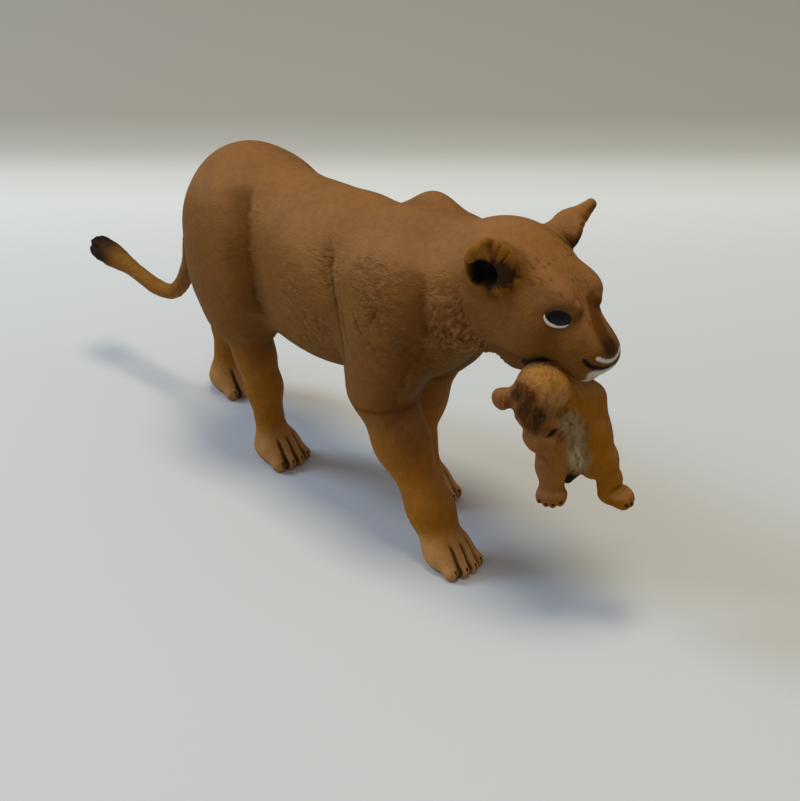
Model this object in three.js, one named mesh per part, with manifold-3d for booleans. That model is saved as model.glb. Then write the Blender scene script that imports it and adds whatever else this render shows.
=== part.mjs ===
// A lioness walking with her cub held by the scruff: a solid moulded vinyl figure.
// Units are millimetres, +Z up, +X towards the nose and +Y to the lioness's left.
// The whole animal is one smooth form, which is then sawn into the castings that plug together:
// torso, head, four legs and tail. The cub is a form of its own, gripped between the jaws.
import * as THREE from "three";
import { mergeVertices } from "three/addons/utils/BufferGeometryUtils.js";
import Module from "manifold-3d";

const wasm = await Module();
wasm.setup();
const { Manifold, Mesh: SolidMesh } = wasm;

// Trunk
const trunkLength = 45;
const hipHeight = 48;
const rumpWidth = 24;
const rumpDepth = 26;
const rumpLength = 25;
const loinHeight = 46.8;
const loinWidth = 22;
const loinDepth = 24;
const bellyWidth = 20;
const bellyDepth = 17;
const bellySag = 11;
const ribWidth = 27;
const ribDepth = 29;
const ribHeight = 43.5;
const shoulderHeight = 45;
const shoulderLength = 22;
const shoulderWidth = 25;
const shoulderDepth = 28;
const rightBladeRise = 10.8;
const leftBladeRise = 12.6;
const bladeSpacing = 7;
const bladeLength = 10.2;
const bladeWidth = 6.5;
const bladeDepth = 12;
const bladeBack = 0;
const haunchWidth = 13;
const haunchLength = 20;
const haunchDepth = 28;
const haunchSpacing = 14;
const haunchForward = 2;
const haunchDrop = 7;
const shoulderMuscleLength = 17;
const shoulderMuscleWidth = 8.4;
const shoulderMuscleDepth = 19;
const armMuscleLength = 14;
const armMuscleWidth = 8.4;
const armMuscleDepth = 17;
const foreMuscleSpacing = 19.2;
const thighMuscleLength = 15;
const thighMuscleWidth = 7;
const thighMuscleDepth = 18;
const thighMuscleSpacing = 18.8;

// Neck and head
const neckLength = 25;
const neckRise = 11;
const neckArch = 1;
const neckRootGirth = 23;
const neckGirth = 17.8;
const napeGirth = 16.6;
const headWidth = 18;
const headHeight = 17;
const headLength = 20;
const browSpacing = 6.8;
const bridgeWidth = 12;
const bridgeEndWidth = 6.9;
const muzzleLength = 16;
const muzzleDrop = 6.5;
const muzzleWidth = 9.4;
const muzzleDepth = 7;
const noseWidth = 4.2;
const jawDrop = 11;
const jawLength = 12;
const jawGirth = 9;
const chinWidth = 5.6;
const earHeight = 9.6;
const earWidth = 8.4;
const earThickness = 3.8;
const earRim = 0.6;
const earBackWall = 2.1;
const earSpacing = 20;
const earRise = 6.4;
const earRootDepth = 3;
const earRootDrop = 1;
const earRootGirth = 6.4;
const earTipGirth = 1.6;
const rightEarTilt = 0.1;
const rightEarInset = 0.2;
const rightEarTipForward = 0.4;
const rightEarTipOut = 1.3;
const rightEarTipUp = 4.8;
const leftEarTilt = 0.42;
const leftEarInset = 1.2;
const leftEarTipForward = 1.3;
const leftEarTipOut = 3.2;
const leftEarTipUp = 4.3;

// Legs: the soles are placed from the hip or the shoulder, forwards being positive
const shoulderSpacing = 16;
const hipSpacing = 15;
const rightForeStep = 14.3;
const rightForeOut = 7.2;
const rightElbowBack = 2.6;
const rightWristBack = 5;
const leftForeStep = -4;
const leftForeOut = 6.6;
const leftElbowBack = 5.4;
const leftWristBack = 4.6;
const rightHindStep = 10.5;
const rightHindOut = 3.8;
const rightKneeForward = 5.5;
const rightHockBack = 3;
const leftHindStep = -17.5;
const leftHindOut = 8.4;
const leftKneeForward = 1;
const leftHockBack = 0.5;
const elbowHeight = 30;
const wristHeight = 9.5;
const upperArmGirth = 13;
const elbowGirth = 10.5;
const forearmGirth = 8.6;
const wristGirth = 6.8;
const kneeHeight = 31;
const hockHeight = 15.5;
const kneeGirth = 11;
const shinGirth = 6.6;
const hockGirth = 6;
const pasternGirth = 5.6;
const pawLength = 10;
const pawWidth = 9;
const pawHeight = 6.4;
const toeGirth = 3.6;

// Tail
const tailRootHeight = 53;
const tailRootInset = 1.5;
const tailLowest = 21.8;
const tailReach = 39.5;
const tailTipRise = 3.4;
const tailGirth = 4.6;
const tailWaist = 2.7;
const tuftGirth = 5.4;

// Cub: its length is from the grip on its scruff to the lowest paw
const cubLength = 22;
const cubHeadWidth = 8.7;
const cubMuzzleWidth = 4.9;
const cubEarWidth = 3.6;
const cubNeckGirth = 6;
const cubBellyGirth = 7.2;
const cubBackGirth = 5.2;
const cubThighGirth = 5.4;
const cubLegGirth = 4.4;
const cubPawLength = 4.6;
const cubPawWidth = 4.8;
const cubPawHeight = 3.4;
const cubToeGirth = 2.2;
const cubTailGirth = 2.4;
const gripBack = 7;
const gripDrop = 1.5;
const gripAside = 2;

// Fillets where one form runs into another
const trunkFillet = 7;
const bodyFillet = 5;
const muscleFillet = 2.2;
const neckFillet = 6;
const legFillet = 4;
const pasternFillet = 3;
const faceFillet = 3;
const jawFillet = 2;
const earFillet = 0.5;
const pawFillet = 1.2;
const tailFillet = 1.5;
const cubFillet = 1.5;
const pairFillet = 1.5;

// Seams between the castings
const seamGap = 0.3;
const legSeamDrop = 0.4;
const neckSeamBack = 8.5;
const plugDiameter = 8;
const plugLength = 5;
const plugDrop = 2;
const tailPegDiameter = 2.6;
const tailPegLength = 8;
const pegDiameter = 3.6;
const pegLength = 5;
const pegClearance = 0.3;
const soleSink = 0.6;

// Fineness of the surface
const bodyCell = 2.4;
const headCell = 1.7;
const legCell = 1.8;
const earCell = 1;
const cubCell = 1.25;
const tailCell = 1.4;

const at = (x, y, z) => new THREE.Vector3(x, y, z);
const mix = (a, b, share) => a + (b - a) * share;
const between = (a, b, share) => a.clone().lerp(b, share);

// An ellipsoid, turned about its centre by roll, pitch (nose down) and yaw (to the left).
// Its distance is the usual first-order estimate.
function egg(centre, length, width, height, pitch = 0, yaw = 0, roll = 0) {
  const [a, b, c] = [length / 2, width / 2, height / 2];
  const turn = new THREE.Matrix4().makeRotationFromEuler(new THREE.Euler(roll, pitch, yaw, "ZYX"));
  const [xx, xy, xz, , yx, yy, yz, , zx, zy, zz] = turn.elements;
  const reach = Math.max(a, b, c);
  return {
    box: new THREE.Box3().setFromCenterAndSize(centre, at(2 * reach, 2 * reach, 2 * reach)),
    distance(x, y, z) {
      const [dx, dy, dz] = [x - centre.x, y - centre.y, z - centre.z];
      const u = (dx * xx + dy * xy + dz * xz) / a;
      const v = (dx * yx + dy * yy + dz * yz) / b;
      const w = (dx * zx + dy * zy + dz * zz) / c;
      const inner = Math.hypot(u, v, w);
      const slope = Math.hypot(u / a, v / b, w / c);
      return slope < 1e-9 ? -Math.min(a, b, c) : (inner * (inner - 1)) / slope;
    },
  };
}

// A limb that tapers from one girth to the other along a straight line
function limb(from, to, girthFrom, girthTo) {
  const line = to.clone().sub(from);
  const lengthSq = line.lengthSq();
  const reach = Math.max(girthFrom, girthTo) / 2;
  return {
    box: new THREE.Box3().setFromPoints([from, to]).expandByScalar(reach),
    distance(x, y, z) {
      const [px, py, pz] = [x - from.x, y - from.y, z - from.z];
      const share = Math.min(1, Math.max(0, (px * line.x + py * line.y + pz * line.z) / lengthSq));
      const gone = Math.hypot(px - share * line.x, py - share * line.y, pz - share * line.z);
      return gone - mix(girthFrom, girthTo, share) / 2;
    },
  };
}

// A run of limbs through several points, with a girth at each point
function chain(points, girths, softness) {
  const links = points.slice(1).map((point, i) => limb(points[i], point, girths[i], girths[i + 1]));
  return blend(softness, ...links);
}

// The forms joined, with a fillet whose size is softness
function blend(softness, ...forms) {
  const box = forms.reduce((all, form) => all.union(form.box), new THREE.Box3());
  return {
    box: box.expandByScalar(softness / 4),
    distance(x, y, z) {
      let sum = forms[0].distance(x, y, z);
      for (let i = 1; i < forms.length; i += 1) {
        const next = forms[i].distance(x, y, z);
        const overlap = Math.max(softness - Math.abs(sum - next), 0) / softness;
        sum = Math.min(sum, next) - (overlap * overlap * softness) / 4;
      }
      return sum;
    },
  };
}

// One form with another hollowed out of it, the edge rounded by softness
function hollow(softness, form, cutter) {
  return {
    box: form.box,
    distance(x, y, z) {
      const whole = form.distance(x, y, z);
      const outside = -cutter.distance(x, y, z);
      const overlap = Math.max(softness - Math.abs(whole - outside), 0) / softness;
      return Math.max(whole, outside) + (overlap * overlap * softness) / 4;
    },
  };
}

// What two forms have in common
const common = (form, other) => ({
  box: form.box.clone().intersect(other.box),
  distance: (x, y, z) => Math.max(form.distance(x, y, z), other.distance(x, y, z)),
});

// The same form on the other side of the body's middle
function mirrored(form) {
  const { min, max } = form.box;
  return {
    box: new THREE.Box3(at(min.x, -max.y, min.z), at(max.x, -min.y, max.z)),
    distance: (x, y, z) => form.distance(x, -y, z),
  };
}

// A form and its mirror image, with a small fillet where they meet
const mirroredPair = (form) => blend(pairFillet, form, mirrored(form));

// The same form grown outwards everywhere by a margin
const grown = (form, margin) => ({
  box: form.box.clone().expandByScalar(margin),
  distance: (x, y, z) => form.distance(x, y, z) - margin,
});

// Corner offsets of a grid cell, its twelve edges as corner pairs, and its six faces as corner rings
const CORNERS = Array.from({ length: 8 }, (_, n) => [n & 1, (n >> 1) & 1, n >> 2]);
const EDGES = [1, 2, 4].flatMap((stride) =>
  CORNERS.map((_, n) => [n, n + stride]).filter(([n]) => !(n & stride)));
const FACES = [[0, 1, 3, 2], [4, 5, 7, 6], [0, 1, 5, 4], [2, 3, 7, 6], [0, 2, 6, 4], [1, 3, 7, 5]];
const edgeBetween = (a, b) => EDGES.findIndex(([p, q]) => (p === a && q === b) || (p === b && q === a));
const FACE_EDGES = FACES.map((ring) => ring.map((corner, i) => edgeBetween(corner, ring[(i + 1) % 4])));

// For each of the 256 patterns of inside corners: which crossed edges belong to one sheet of surface.
// On a face crossed four times, the two edges at an inside corner go together.
const SHEETS = Array.from({ length: 256 }, (_, pattern) => {
  const inside = (corner) => (pattern >> corner) & 1;
  const sheetOf = EDGES.map(([a, b], edge) => (inside(a) === inside(b) ? -1 : edge));
  const join = (one, other) => {
    const [keep, drop] = [sheetOf[one], sheetOf[other]];
    sheetOf.forEach((sheet, edge) => {
      if (sheet === drop) sheetOf[edge] = keep;
    });
  };
  FACES.forEach((ring, face) => {
    const crossed = FACE_EDGES[face].filter((edge) => sheetOf[edge] >= 0);
    if (crossed.length === 2) join(crossed[0], crossed[1]);
    if (crossed.length === 4) {
      ring.forEach((corner, i) => {
        if (inside(corner)) join(FACE_EDGES[face][i], FACE_EDGES[face][(i + 3) % 4]);
      });
    }
  });
  return sheetOf;
});

// The surface of a form as a closed mesh: one point per sheet and grid cell, pulled onto the surface
function skin(form, cell) {
  const low = form.box.min.clone().subScalar(2 * cell);
  const counts = form.box.getSize(at(0, 0, 0)).toArray().map((side) => Math.ceil(side / cell) + 5);
  const [nx, ny, nz] = counts;
  const index = (i, j, k) => i + nx * (j + ny * k);
  const values = new Float64Array(nx * ny * nz);
  for (let k = 0; k < nz; k += 1) {
    for (let j = 0; j < ny; j += 1) {
      for (let i = 0; i < nx; i += 1) {
        values[index(i, j, k)] = form.distance(low.x + i * cell, low.y + j * cell, low.z + k * cell);
      }
    }
  }
  const points = [];
  const pointOf = new Map();
  for (let k = 0; k < nz - 1; k += 1) {
    for (let j = 0; j < ny - 1; j += 1) {
      for (let i = 0; i < nx - 1; i += 1) {
        const corner = CORNERS.map(([a, b, c]) => values[index(i + a, j + b, k + c)]);
        const pattern = corner.reduce((bits, value, n) => bits | (value < 0 ? 1 << n : 0), 0);
        if (pattern === 0 || pattern === 255) continue;
        const sheets = SHEETS[pattern];
        for (const sheet of new Set(sheets.filter((name) => name >= 0))) {
          const crossings = EDGES.filter((_, edge) => sheets[edge] === sheet).map(([a, b]) => {
            const share = corner[a] / (corner[a] - corner[b]);
            return CORNERS[a].map((start, axis) => mix(start, CORNERS[b][axis], share));
          });
          const mean = (axis) => crossings.reduce((sum, c) => sum + c[axis], 0) / crossings.length;
          const place = at(i + mean(0), j + mean(1), k + mean(2)).multiplyScalar(cell).add(low);
          pointOf.set(index(i, j, k) * EDGES.length + sheet, points.length);
          points.push(settle(form, place, cell / 4));
        }
      }
    }
  }
  const triangles = [];
  const strides = [at(1, 0, 0), at(0, 1, 0), at(0, 0, 1)];
  for (let k = 1; k < nz - 1; k += 1) {
    for (let j = 1; j < ny - 1; j += 1) {
      for (let i = 1; i < nx - 1; i += 1) {
        strides.forEach((stride, axis) => {
          const here = values[index(i, j, k)] < 0;
          const there = values[index(i + stride.x, j + stride.y, k + stride.z)] < 0;
          if (here === there) return;
          const [s, t] = [strides[(axis + 1) % 3], strides[(axis + 2) % 3]];
          const ring = [[1, 1], [0, 1], [0, 0], [1, 0]].map(([a, b]) => {
            const cellAt = [i - a * s.x - b * t.x, j - a * s.y - b * t.y, k - a * s.z - b * t.z];
            const offset = [i - cellAt[0], j - cellAt[1], k - cellAt[2]];
            const first = offset[0] + 2 * offset[1] + 4 * offset[2];
            const edge = edgeBetween(first, first + (1 << axis));
            const sheet = SHEETS[patternAt(values, index, ...cellAt)][edge];
            return pointOf.get(index(...cellAt) * EDGES.length + sheet);
          });
          if (!here) ring.reverse();
          const diagonal = (from, to) => points[ring[from]].distanceTo(points[ring[to]]);
          const [a, b, c, d] = diagonal(0, 2) < diagonal(1, 3) ? ring : [...ring.slice(1), ring[0]];
          triangles.push(a, b, c, a, c, d);
        });
      }
    }
  }
  return new Manifold(new SolidMesh({
    numProp: 3,
    vertProperties: new Float32Array(points.flatMap((point) => point.toArray())),
    triVerts: new Uint32Array(triangles),
  }));
}

const patternAt = (values, index, i, j, k) =>
  CORNERS.reduce((bits, [a, b, c], n) => bits | (values[index(i + a, j + b, k + c)] < 0 ? 1 << n : 0), 0);

// Moves a point onto the form's surface, by no more than limit
function settle(form, point, limit) {
  const step = limit / 20;
  const value = form.distance(point.x, point.y, point.z);
  const slope = at(
    form.distance(point.x + step, point.y, point.z) - value,
    form.distance(point.x, point.y + step, point.z) - value,
    form.distance(point.x, point.y, point.z + step) - value,
  ).divideScalar(step);
  const move = slope.multiplyScalar(-value / Math.max(slope.lengthSq(), 0.25));
  return point.add(move.clampLength(0, limit));
}

// A closed three.js shape as a solid that can be joined and cut
function solidOf(geometry) {
  const bare = geometry.clone();
  bare.deleteAttribute("normal");
  bare.deleteAttribute("uv");
  const merged = mergeVertices(bare, 1e-4);
  return new Manifold(new SolidMesh({
    numProp: 3,
    vertProperties: new Float32Array(merged.attributes.position.array),
    triVerts: new Uint32Array(merged.index.array),
  }));
}

// A block between two corners, and a round peg along Z or along any direction
const block = (low, high) => {
  const size = high.clone().sub(low);
  const middle = between(low, high, 0.5);
  return solidOf(new THREE.BoxGeometry(size.x, size.y, size.z).translate(middle.x, middle.y, middle.z));
};
const PEG_SIDES = 16;
const peg = (from, direction, diameter, length) => {
  const turn = new THREE.Quaternion().setFromUnitVectors(at(0, 1, 0), direction.clone().normalize());
  const shape = new THREE.CylinderGeometry(diameter / 2, diameter / 2, length, PEG_SIDES);
  shape.translate(0, length / 2, 0).applyQuaternion(turn).translate(from.x, from.y, from.z);
  return solidOf(shape);
};

// Skeleton. The hips stand a share of the trunk's length behind the origin
const hipX = -0.38 * trunkLength;
const shoulderX = hipX + trunkLength;
const alongTrunk = (share, z) => at(mix(hipX, shoulderX, share), 0, z);
const hip = at(hipX, 0, hipHeight);
const shoulder = at(shoulderX, 0, shoulderHeight);
const headCentre = at(shoulderX + neckLength, 0, shoulderHeight + neckRise);
const noseTip = at(headCentre.x + muzzleLength, 0, headCentre.z - muzzleDrop);
const hundredth = 0.01;

const trunk = blend(trunkFillet,
  egg(hip, rumpLength, rumpWidth, rumpDepth),
  egg(alongTrunk(0.34, loinHeight), trunkLength * 0.8, loinWidth, loinDepth),
  egg(alongTrunk(0.43, loinHeight - bellySag), trunkLength * 0.75, bellyWidth, bellyDepth),
  egg(alongTrunk(0.68, ribHeight), trunkLength * 0.75, ribWidth, ribDepth),
  egg(shoulder, shoulderLength, shoulderWidth, shoulderDepth),
);

function blade(side, rise) {
  const crest = at(shoulderX - bladeBack, (side * bladeSpacing) / 2, shoulderHeight + rise);
  return egg(crest, bladeLength, bladeWidth, bladeDepth, -0.2);
}

const thigh = at(hipX + haunchForward, haunchSpacing / 2, hipHeight - haunchDrop);
const haunch = egg(thigh, haunchLength, haunchWidth, haunchDepth, 0.1);

// Muscles that stand out of the shoulder, the upper arm and the thigh
const shoulderMuscle = egg(
  shoulder.clone().add(at(shoulderMuscleLength * 0.094, foreMuscleSpacing / 2, shoulderMuscleDepth * 0.24)),
  shoulderMuscleLength,
  shoulderMuscleWidth,
  shoulderMuscleDepth,
  0.12,
);
const armMuscle = egg(
  shoulder.clone().add(at(armMuscleLength * 0.064, foreMuscleSpacing / 2, -armMuscleDepth * 0.41)),
  armMuscleLength,
  armMuscleWidth,
  armMuscleDepth,
  -0.1,
);
const thighMuscle = egg(
  hip.clone().add(at(thighMuscleLength * 0.3, thighMuscleSpacing / 2, -thighMuscleDepth * 0.5)),
  thighMuscleLength,
  thighMuscleWidth,
  thighMuscleDepth,
  0.5,
);
const muscles = blend(muscleFillet, ...[shoulderMuscle, armMuscle, thighMuscle].map(mirroredPair));

// A foreleg: the shaft is the stretch that the seam crosses
function foreleg(side, step, out, elbowBack, wristBack) {
  const y = side * out;
  const sole = at(shoulderX + step, y, 0);
  const top = at(shoulderX, (side * shoulderSpacing) / 2, mix(elbowHeight, shoulderHeight, 0.8));
  const elbow = at(shoulderX - elbowBack, mix(y, top.y, 0.5), elbowHeight);
  const wrist = at(sole.x - wristBack, y, wristHeight);
  const forearm = between(elbow, wrist, 0.45).add(at(-0.07 * forearmGirth, 0, 0));
  const heel = at(sole.x - 0.15 * pawLength, y, pawHeight / 2);
  const girths = [upperArmGirth, elbowGirth, forearmGirth, wristGirth, pawHeight];
  const bones = chain([top, elbow, forearm, wrist, heel], girths, legFillet);
  return { shaft: [elbow, forearm], form: blend(pasternFillet, bones, paw(sole)) };
}

// A hind leg below the haunch
function hindLeg(side, step, out, kneeForward, hockBack) {
  const y = side * out;
  const sole = at(hipX + step, y, 0);
  const knee = at(hipX + kneeForward, (side * hipSpacing) / 2, kneeHeight);
  const hock = at(sole.x - hockBack, mix(y, knee.y, 0.3), hockHeight);
  const shin = between(knee, hock, 0.6);
  const heel = at(sole.x - 0.2 * pawLength, y, pawHeight / 2);
  const girths = [kneeGirth, shinGirth, hockGirth, pasternGirth];
  const bones = chain([knee, shin, hock, heel], girths, pasternFillet);
  return { shaft: [knee, hock], form: blend(pasternFillet, bones, paw(sole)) };
}

// A paw: the pad, and four toes side by side in front of it
function paw(sole) {
  const toes = [-1.5, -0.5, 0.5, 1.5].map((place) => {
    const out = (place * pawWidth) / 4.2;
    const reach = pawLength / 2 - (Math.abs(place) * pawLength) / 14 - toeGirth / 4;
    const knuckle = at(sole.x + reach - 0.3 * pawLength, sole.y + out * 0.8, toeGirth * 0.8);
    const tip = at(sole.x + reach, sole.y + out, toeGirth / 2 - soleSink);
    return limb(knuckle, tip, toeGirth * 1.05, toeGirth);
  });
  const pad = egg(at(sole.x, sole.y, pawHeight / 2 - soleSink), pawLength * 0.9, pawWidth * 0.9, pawHeight);
  return blend(pawFillet, pad, ...toes);
}

const rightFore = foreleg(-1, rightForeStep, rightForeOut, rightElbowBack, rightWristBack);
const leftFore = foreleg(1, leftForeStep, leftForeOut, leftElbowBack, leftWristBack);
const rightHind = hindLeg(-1, rightHindStep, rightHindOut, rightKneeForward, rightHockBack);
const leftHind = hindLeg(1, leftHindStep, leftHindOut, leftKneeForward, leftHockBack);

// Places on the head are in hundredths of its length, width and height from its centre
function onHead(forward, left, up) {
  const offset = at(forward * headLength, left * headWidth, up * headHeight);
  return headCentre.clone().addScaledVector(offset, hundredth);
}

// An ellipsoid on the head, its three sizes also in hundredths of the head's
function headEgg(place, length, width, height, pitch) {
  const sizes = [length * headLength, width * headWidth, height * headHeight];
  return egg(place, ...sizes.map((size) => size * hundredth), pitch);
}

const neckRoot = at(shoulderX, 0, shoulderHeight + neckRise * 0.18);
const neckMiddle = between(shoulder, headCentre, 0.6).add(at(0, 0, neckArch));
const nape = onHead(-30, 0, 3);
const neck = chain([neckRoot, neckMiddle, nape], [neckRootGirth, neckGirth, napeGirth], neckFillet);

const brow = onHead(41, 0, 14).add(at(0, browSpacing / 2, 0));
const bridgeEnd = at(noseTip.x - muzzleLength * 0.22, 0, noseTip.z - muzzleDrop * 0.1);
const noseBack = at(noseTip.x - noseWidth / 2, 0, noseTip.z);
const whiskers = between(headCentre, noseTip, 0.69).add(at(0, muzzleWidth * 0.23, -muzzleDepth * 0.42));
const skull = blend(faceFillet,
  headEgg(onHead(-6, 0, 4), 98, 97, 94, 0.3),
  mirroredPair(headEgg(onHead(12, 26, -24), 65, 47, 70, 0)),
  mirroredPair(headEgg(brow, 31, 23, 25, 0.5)),
  limb(onHead(15, 0, -6), bridgeEnd, bridgeWidth, bridgeEndWidth),
  limb(onHead(20, 0, 3), noseBack, bridgeWidth * 0.67, noseWidth),
  mirroredPair(egg(whiskers, muzzleLength * 0.56, muzzleWidth * 0.62, muzzleDepth, 0.35)),
);
const jawHinge = onHead(-8, 0, 0).add(at(0, 0, -jawDrop));
const jaw = limb(jawHinge, jawHinge.clone().add(at(jawLength, 0, 0)), jawGirth, chinWidth);

// An ear: an oval that tilts outwards, with a tip, and a cup hollowed out of the side that it faces
const earLean = 0.35;
function ear(side, tilt, inset, tipForward, tipOut, tipUp) {
  const facing = at(0.36, side * 0.93, 0).normalize();
  const yaw = Math.atan2(facing.y, facing.x);
  const base = onHead(-4, 0, 0).add(at(0, (side * earSpacing) / 2, earRise));
  const root = base.clone().addScaledVector(facing, -earRootDepth).add(at(0, 0, -earRootDrop));
  const tip = base.clone().add(at(tipForward, side * tipOut, tipUp));
  const centre = base.clone().addScaledVector(facing, -inset);
  const cup = centre.clone().addScaledVector(facing, earBackWall);
  const oval = (place, rim) => egg(
    place,
    earThickness,
    earWidth - 2 * rim,
    earHeight - 2 * rim,
    tilt,
    yaw,
    side * earLean,
  );
  const whole = blend(2 * earFillet, oval(centre, 0), limb(root, tip, earRootGirth, earTipGirth));
  return hollow(earFillet, whole, oval(cup, earRim));
}

// Tail: it hangs behind the rump, dips, and swings back and up to its tuft.
// Its hanging points are in hundredths of its reach and of its fall.
const tailRoot = at(hipX - rumpLength / 2 + tailRootInset, 0, tailRootHeight);
const HANGING = [[0, 0], [9, 13], [17, 32], [19, 52], [22, 74], [33, 95], [48, 100]];
const tailPath = new THREE.CatmullRomCurve3([
  ...HANGING.map(([back, down]) => at(
    tailRoot.x - tailReach * back * hundredth,
    0,
    mix(tailRootHeight, tailLowest, down * hundredth),
  )),
  at(tailRoot.x - tailReach * 0.71, 0, tailLowest + tailTipRise * 0.47),
  at(tailRoot.x - tailReach, 0, tailLowest + tailTipRise),
]);
const TAIL_LINKS = 20;
const TUFT_LINKS = 4;
const tailPoints = Array.from({ length: TAIL_LINKS + 1 }, (_, i) => tailPath.getPointAt(i / TAIL_LINKS));
const tailGirths = tailPoints.map((_, i) => mix(tailGirth, tailWaist, Math.min(1, (2 * i) / TAIL_LINKS)));
const tuft = limb(tailPoints[TAIL_LINKS - TUFT_LINKS], tailPoints[TAIL_LINKS], tailWaist, tuftGirth);
const tail = blend(tailFillet, chain(tailPoints, tailGirths, tailFillet), tuft);

const blades = [blade(-1, rightBladeRise), blade(1, leftBladeRise)];
const body = blend(jawFillet,
  blend(bodyFillet, trunk, ...blades, mirroredPair(haunch), muscles, blend(legFillet, neck, skull)),
  jaw,
);
const ears = blend(
  earFillet,
  ear(-1, rightEarTilt, rightEarInset, rightEarTipForward, rightEarTipOut, rightEarTipUp),
  ear(1, leftEarTilt, leftEarInset, leftEarTipForward, leftEarTipOut, leftEarTipUp),
);
const lioness = blend(legFillet, body, rightFore.form, leftFore.form, rightHind.form, leftHind.form);

// Cub: hangs by the scruff from the right of the mouth, its head to the right and its belly forwards.
// Places and sizes on it are in hundredths of its length, measured from the grip.
const grip = at(noseTip.x - gripBack, -gripAside, headCentre.z - jawDrop - gripDrop);
const cubPart = cubLength * hundredth;
const onCub = (forward, left, up) => grip.clone().addScaledVector(at(forward, left, up), cubPart);
const cubEgg = (place, ...sizes) => egg(place, ...sizes.map((size) => size * cubPart));

// A hind leg of the cub: thigh, shank and a plump paw with a row of toes from its inner to its outer one
function cubLeg(hipAt, kneeAt, ankleAt, heelAt, toesAt, toesAcross) {
  const girths = [cubThighGirth, cubLegGirth, cubLegGirth * 0.9];
  const bones = chain([hipAt, kneeAt, ankleAt], girths, cubFillet);
  const pad = between(heelAt, toesAt, 0.55);
  const across = toesAcross.clone().multiplyScalar(cubPawWidth * 0.38);
  const toes = limb(toesAt.clone().sub(across), toesAt.clone().add(across), cubToeGirth, cubToeGirth);
  return blend(cubFillet / 2, bones, egg(pad, cubPawLength, cubPawWidth, cubPawHeight), toes);
}

const cubHead = blend(cubFillet,
  egg(onCub(-3, -19, -3), cubHeadWidth * 1.1, cubHeadWidth, cubHeadWidth * 0.97),
  egg(onCub(-5, -26, -18), cubHeadWidth * 0.87, cubHeadWidth * 0.78, cubHeadWidth * 0.93),
  egg(onCub(5, -26, -42), cubMuzzleWidth, cubMuzzleWidth * 0.93, cubMuzzleWidth * 0.79),
  egg(onCub(-2, -28, -40), cubMuzzleWidth, cubMuzzleWidth * 0.93, cubMuzzleWidth * 0.83),
  cubEgg(onCub(4, -15, -26), 29, 25, 29),
  egg(onCub(-28, -38, -15), cubEarWidth, cubEarWidth * 0.72, cubEarWidth * 1.05),
  limb(onCub(-13, -28, -8), onCub(-24, -35, -13), cubEarWidth * 1.2, cubEarWidth * 0.8),
);
const cubBack = onCub(24, 8, -41);
const cub = blend(cubFillet,
  cubHead,
  limb(onCub(1, -4, 8), onCub(5, -4, -6), cubNeckGirth * 0.77, cubNeckGirth),
  limb(onCub(9, 0, -16), onCub(12, 2, -42), cubBellyGirth, cubBellyGirth),
  limb(onCub(12, 2, -42), onCub(13, 0, -64), cubBellyGirth, cubBellyGirth * 0.75),
  limb(onCub(15, 7, -15), cubBack, cubBackGirth, cubBackGirth),
  limb(cubBack, onCub(31, 11, -62), cubBackGirth, cubBackGirth),
  cubLeg(
    onCub(5, -16, -48),
    onCub(6, -18, -66),
    onCub(7, -18, -80),
    onCub(6, -15, -87),
    onCub(11, -24, -93),
    at(0.87, 0.49, 0),
  ),
  cubLeg(
    onCub(31, 11, -61),
    onCub(36, 14, -79),
    onCub(36, 13, -90),
    onCub(36, 10, -90),
    onCub(44, 15, -96),
    at(-0.53, 0.85, 0),
  ),
  cubEgg(onCub(28, 4, -70), 15, 15, 14),
  limb(onCub(13, 6, -68), onCub(9, -2, -82), cubTailGirth, cubTailGirth * 0.7),
);

// The part of a form near the box between two corners
function within(form, low, high) {
  const middle = between(low, high, 0.5);
  const half = high.clone().sub(low).multiplyScalar(0.5);
  return {
    box: form.box.clone().intersect(new THREE.Box3(low, high)),
    distance(x, y, z) {
      const out = Math.max(
        Math.abs(x - middle.x) - half.x,
        Math.abs(y - middle.y) - half.y,
        Math.abs(z - middle.z) - half.z,
      );
      return out > 0 ? Math.max(out, form.distance(x, y, z)) : form.distance(x, y, z);
    },
  };
}

// The part of a form's surface that lies in the block between two corners
function casting(form, low, high, cell) {
  const spare = at(2 * cell, 2 * cell, 2 * cell);
  const rough = skin(within(form, low.clone().sub(spare), high.clone().add(spare)), cell);
  return rough.intersect(block(low, high));
}

const vinyl = (colour) => new THREE.MeshStandardMaterial({ color: colour, roughness: 0.7, metalness: 0 });
const figure = new THREE.Group();

function add(name, solid, colour) {
  const mesh = solid.getMesh();
  const geometry = new THREE.BufferGeometry();
  geometry.setAttribute("position", new THREE.BufferAttribute(new Float32Array(mesh.vertProperties), 3));
  geometry.setIndex(new THREE.BufferAttribute(new Uint32Array(mesh.triVerts), 1));
  geometry.computeVertexNormals();
  const piece = new THREE.Mesh(geometry, vinyl(colour));
  piece.name = name;
  figure.add(piece);
}

const MARCH_STEPS = 40;
const BELLY_STATIONS = 12;
const FUR = 0xa06e42;
const CUB_FUR = 0xa8703a;

// The height at which a form's surface lies below a point inside it
function undersideBelow(form, point) {
  let height = point.z;
  for (let step = 0; step < MARCH_STEPS; step += 1) height += form.distance(point.x, point.y, height);
  return height;
}

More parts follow.
